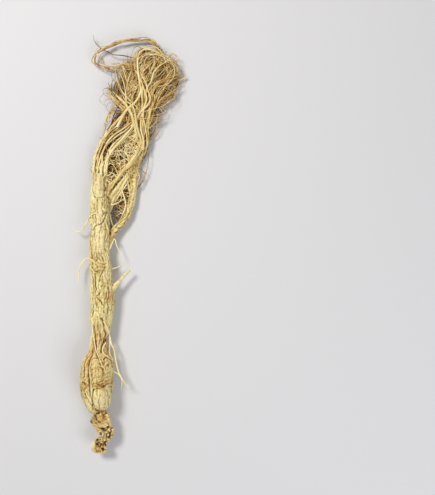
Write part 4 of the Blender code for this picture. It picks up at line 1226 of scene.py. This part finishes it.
def place_camera():
    """Straight above the middle of the photo's frame, far enough that a pixel covers PIXEL at the root."""
    camera = in_scene("camera", bpy.data.cameras.new("camera"))
    camera.data.lens = LENS
    camera.data.sensor_width = SENSOR
    middle_x = (FRAME_WIDTH / 2 - ORIGIN_PIXEL[0]) * PIXEL
    middle_y = (ORIGIN_PIXEL[1] - FRAME_HEIGHT / 2) * PIXEL
    distance = FRAME_HEIGHT * PIXEL * LENS / SENSOR
    camera.location = Vector((middle_x, middle_y, distance + ROOT_MIDDLE)) * MM
    camera.data.clip_start = NEAREST
    bpy.context.scene.camera = camera


def dress(piece, material):
    """Names what a finished piece is, and what it stands for."""
    piece.data.materials.clear()
    piece.data.materials.append(material)
    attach(piece, "root")
    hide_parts(NODE)


def make_root(skin):
    """The body with its legs, in one skin. Returns the legs' strands."""
    strands = [Strand("body", body_rows())] + [Strand(name, leg_rows(route)) for name, route in LEGS.items()]
    rings = [strand.skin(SKIN_SIDES if strand.kind == "body" else LEG_SIDES) for strand in strands]
    piece = fused_skin("root_skin", rings, GRAIN)
    wrinkle(piece, strands, GRAIN, DEEP)
    dress(piece, skin)
    return strands[1:]


def make_crown(skin):
    """The crumpled crown, with its folds and the cupped scars of old stems."""
    crown = Strand("crown", leg_rows(CROWN, CROWN_FLATNESS, CROWN_STEP))
    strands = [crown] + [Strand("fold", fold_rows(route)) for route in FOLDS] + [Strand("rim", rim_rows())]
    rings = [strand.skin(LEG_SIDES) for strand in strands]
    rings += [cup_rings(*scar) for scar in SCARS] + [knob_rings(*knob) for knob in KNOBS]
    piece = fused_skin("crown", rings, CROWN_GRAIN)
    wrinkle(piece, [crown], CROWN_GRAIN, CROWN_DEEP)
    dress(piece, skin)


def make_beard(leg_strands):
    """The rootlets, each size growing from the sizes before."""
    draw = np.random.default_rng(SEED)
    legs = [np.column_stack([leg.axis, leg.width]) for leg in leg_strands if leg.name not in BARE_LEGS]
    tree, skin = round_rootlets_tree(), rootlet_skin()
    parents = legs
    for name, size in ROOTLETS.items():
        start = round_the_nest(legs, size, draw) if "nest" in size else branching(parents, size, draw)
        rootlets = grown(*start, size, draw)
        if name in PARENTS:
            parents = parents + rootlets
        # Painted shade: the lower a rootlet lies, the browner it is made.
        low = np.array([MIDDLE_LEVEL - rows[:, 2].mean() for rows in rootlets])
        tones = np.clip(draw.normal(size["tone"], TONE_SPREAD, len(rootlets)) + SHADE_BY_LEVEL * low, 0, 1)
        if name == "long":
            routed = rootlets_with_routes()
            rootlets = rootlets + [rows for rows, _ in routed]
            own = [tone + OWN_TONE * draw.normal() for _, tone in routed]
            tones = np.concatenate([tones, np.clip(own, 0, 1)])
        paths = paths_object(f"rootlets_{name}", rootlets, tones)
        dress(run_nodes(paths, tree, {"Sides": size["sides"], "Skin": skin}), skin)


place_camera()
light_studio()
make_floor()
root_skin = dried_skin()
make_crown(root_skin)
make_beard(make_root(root_skin))
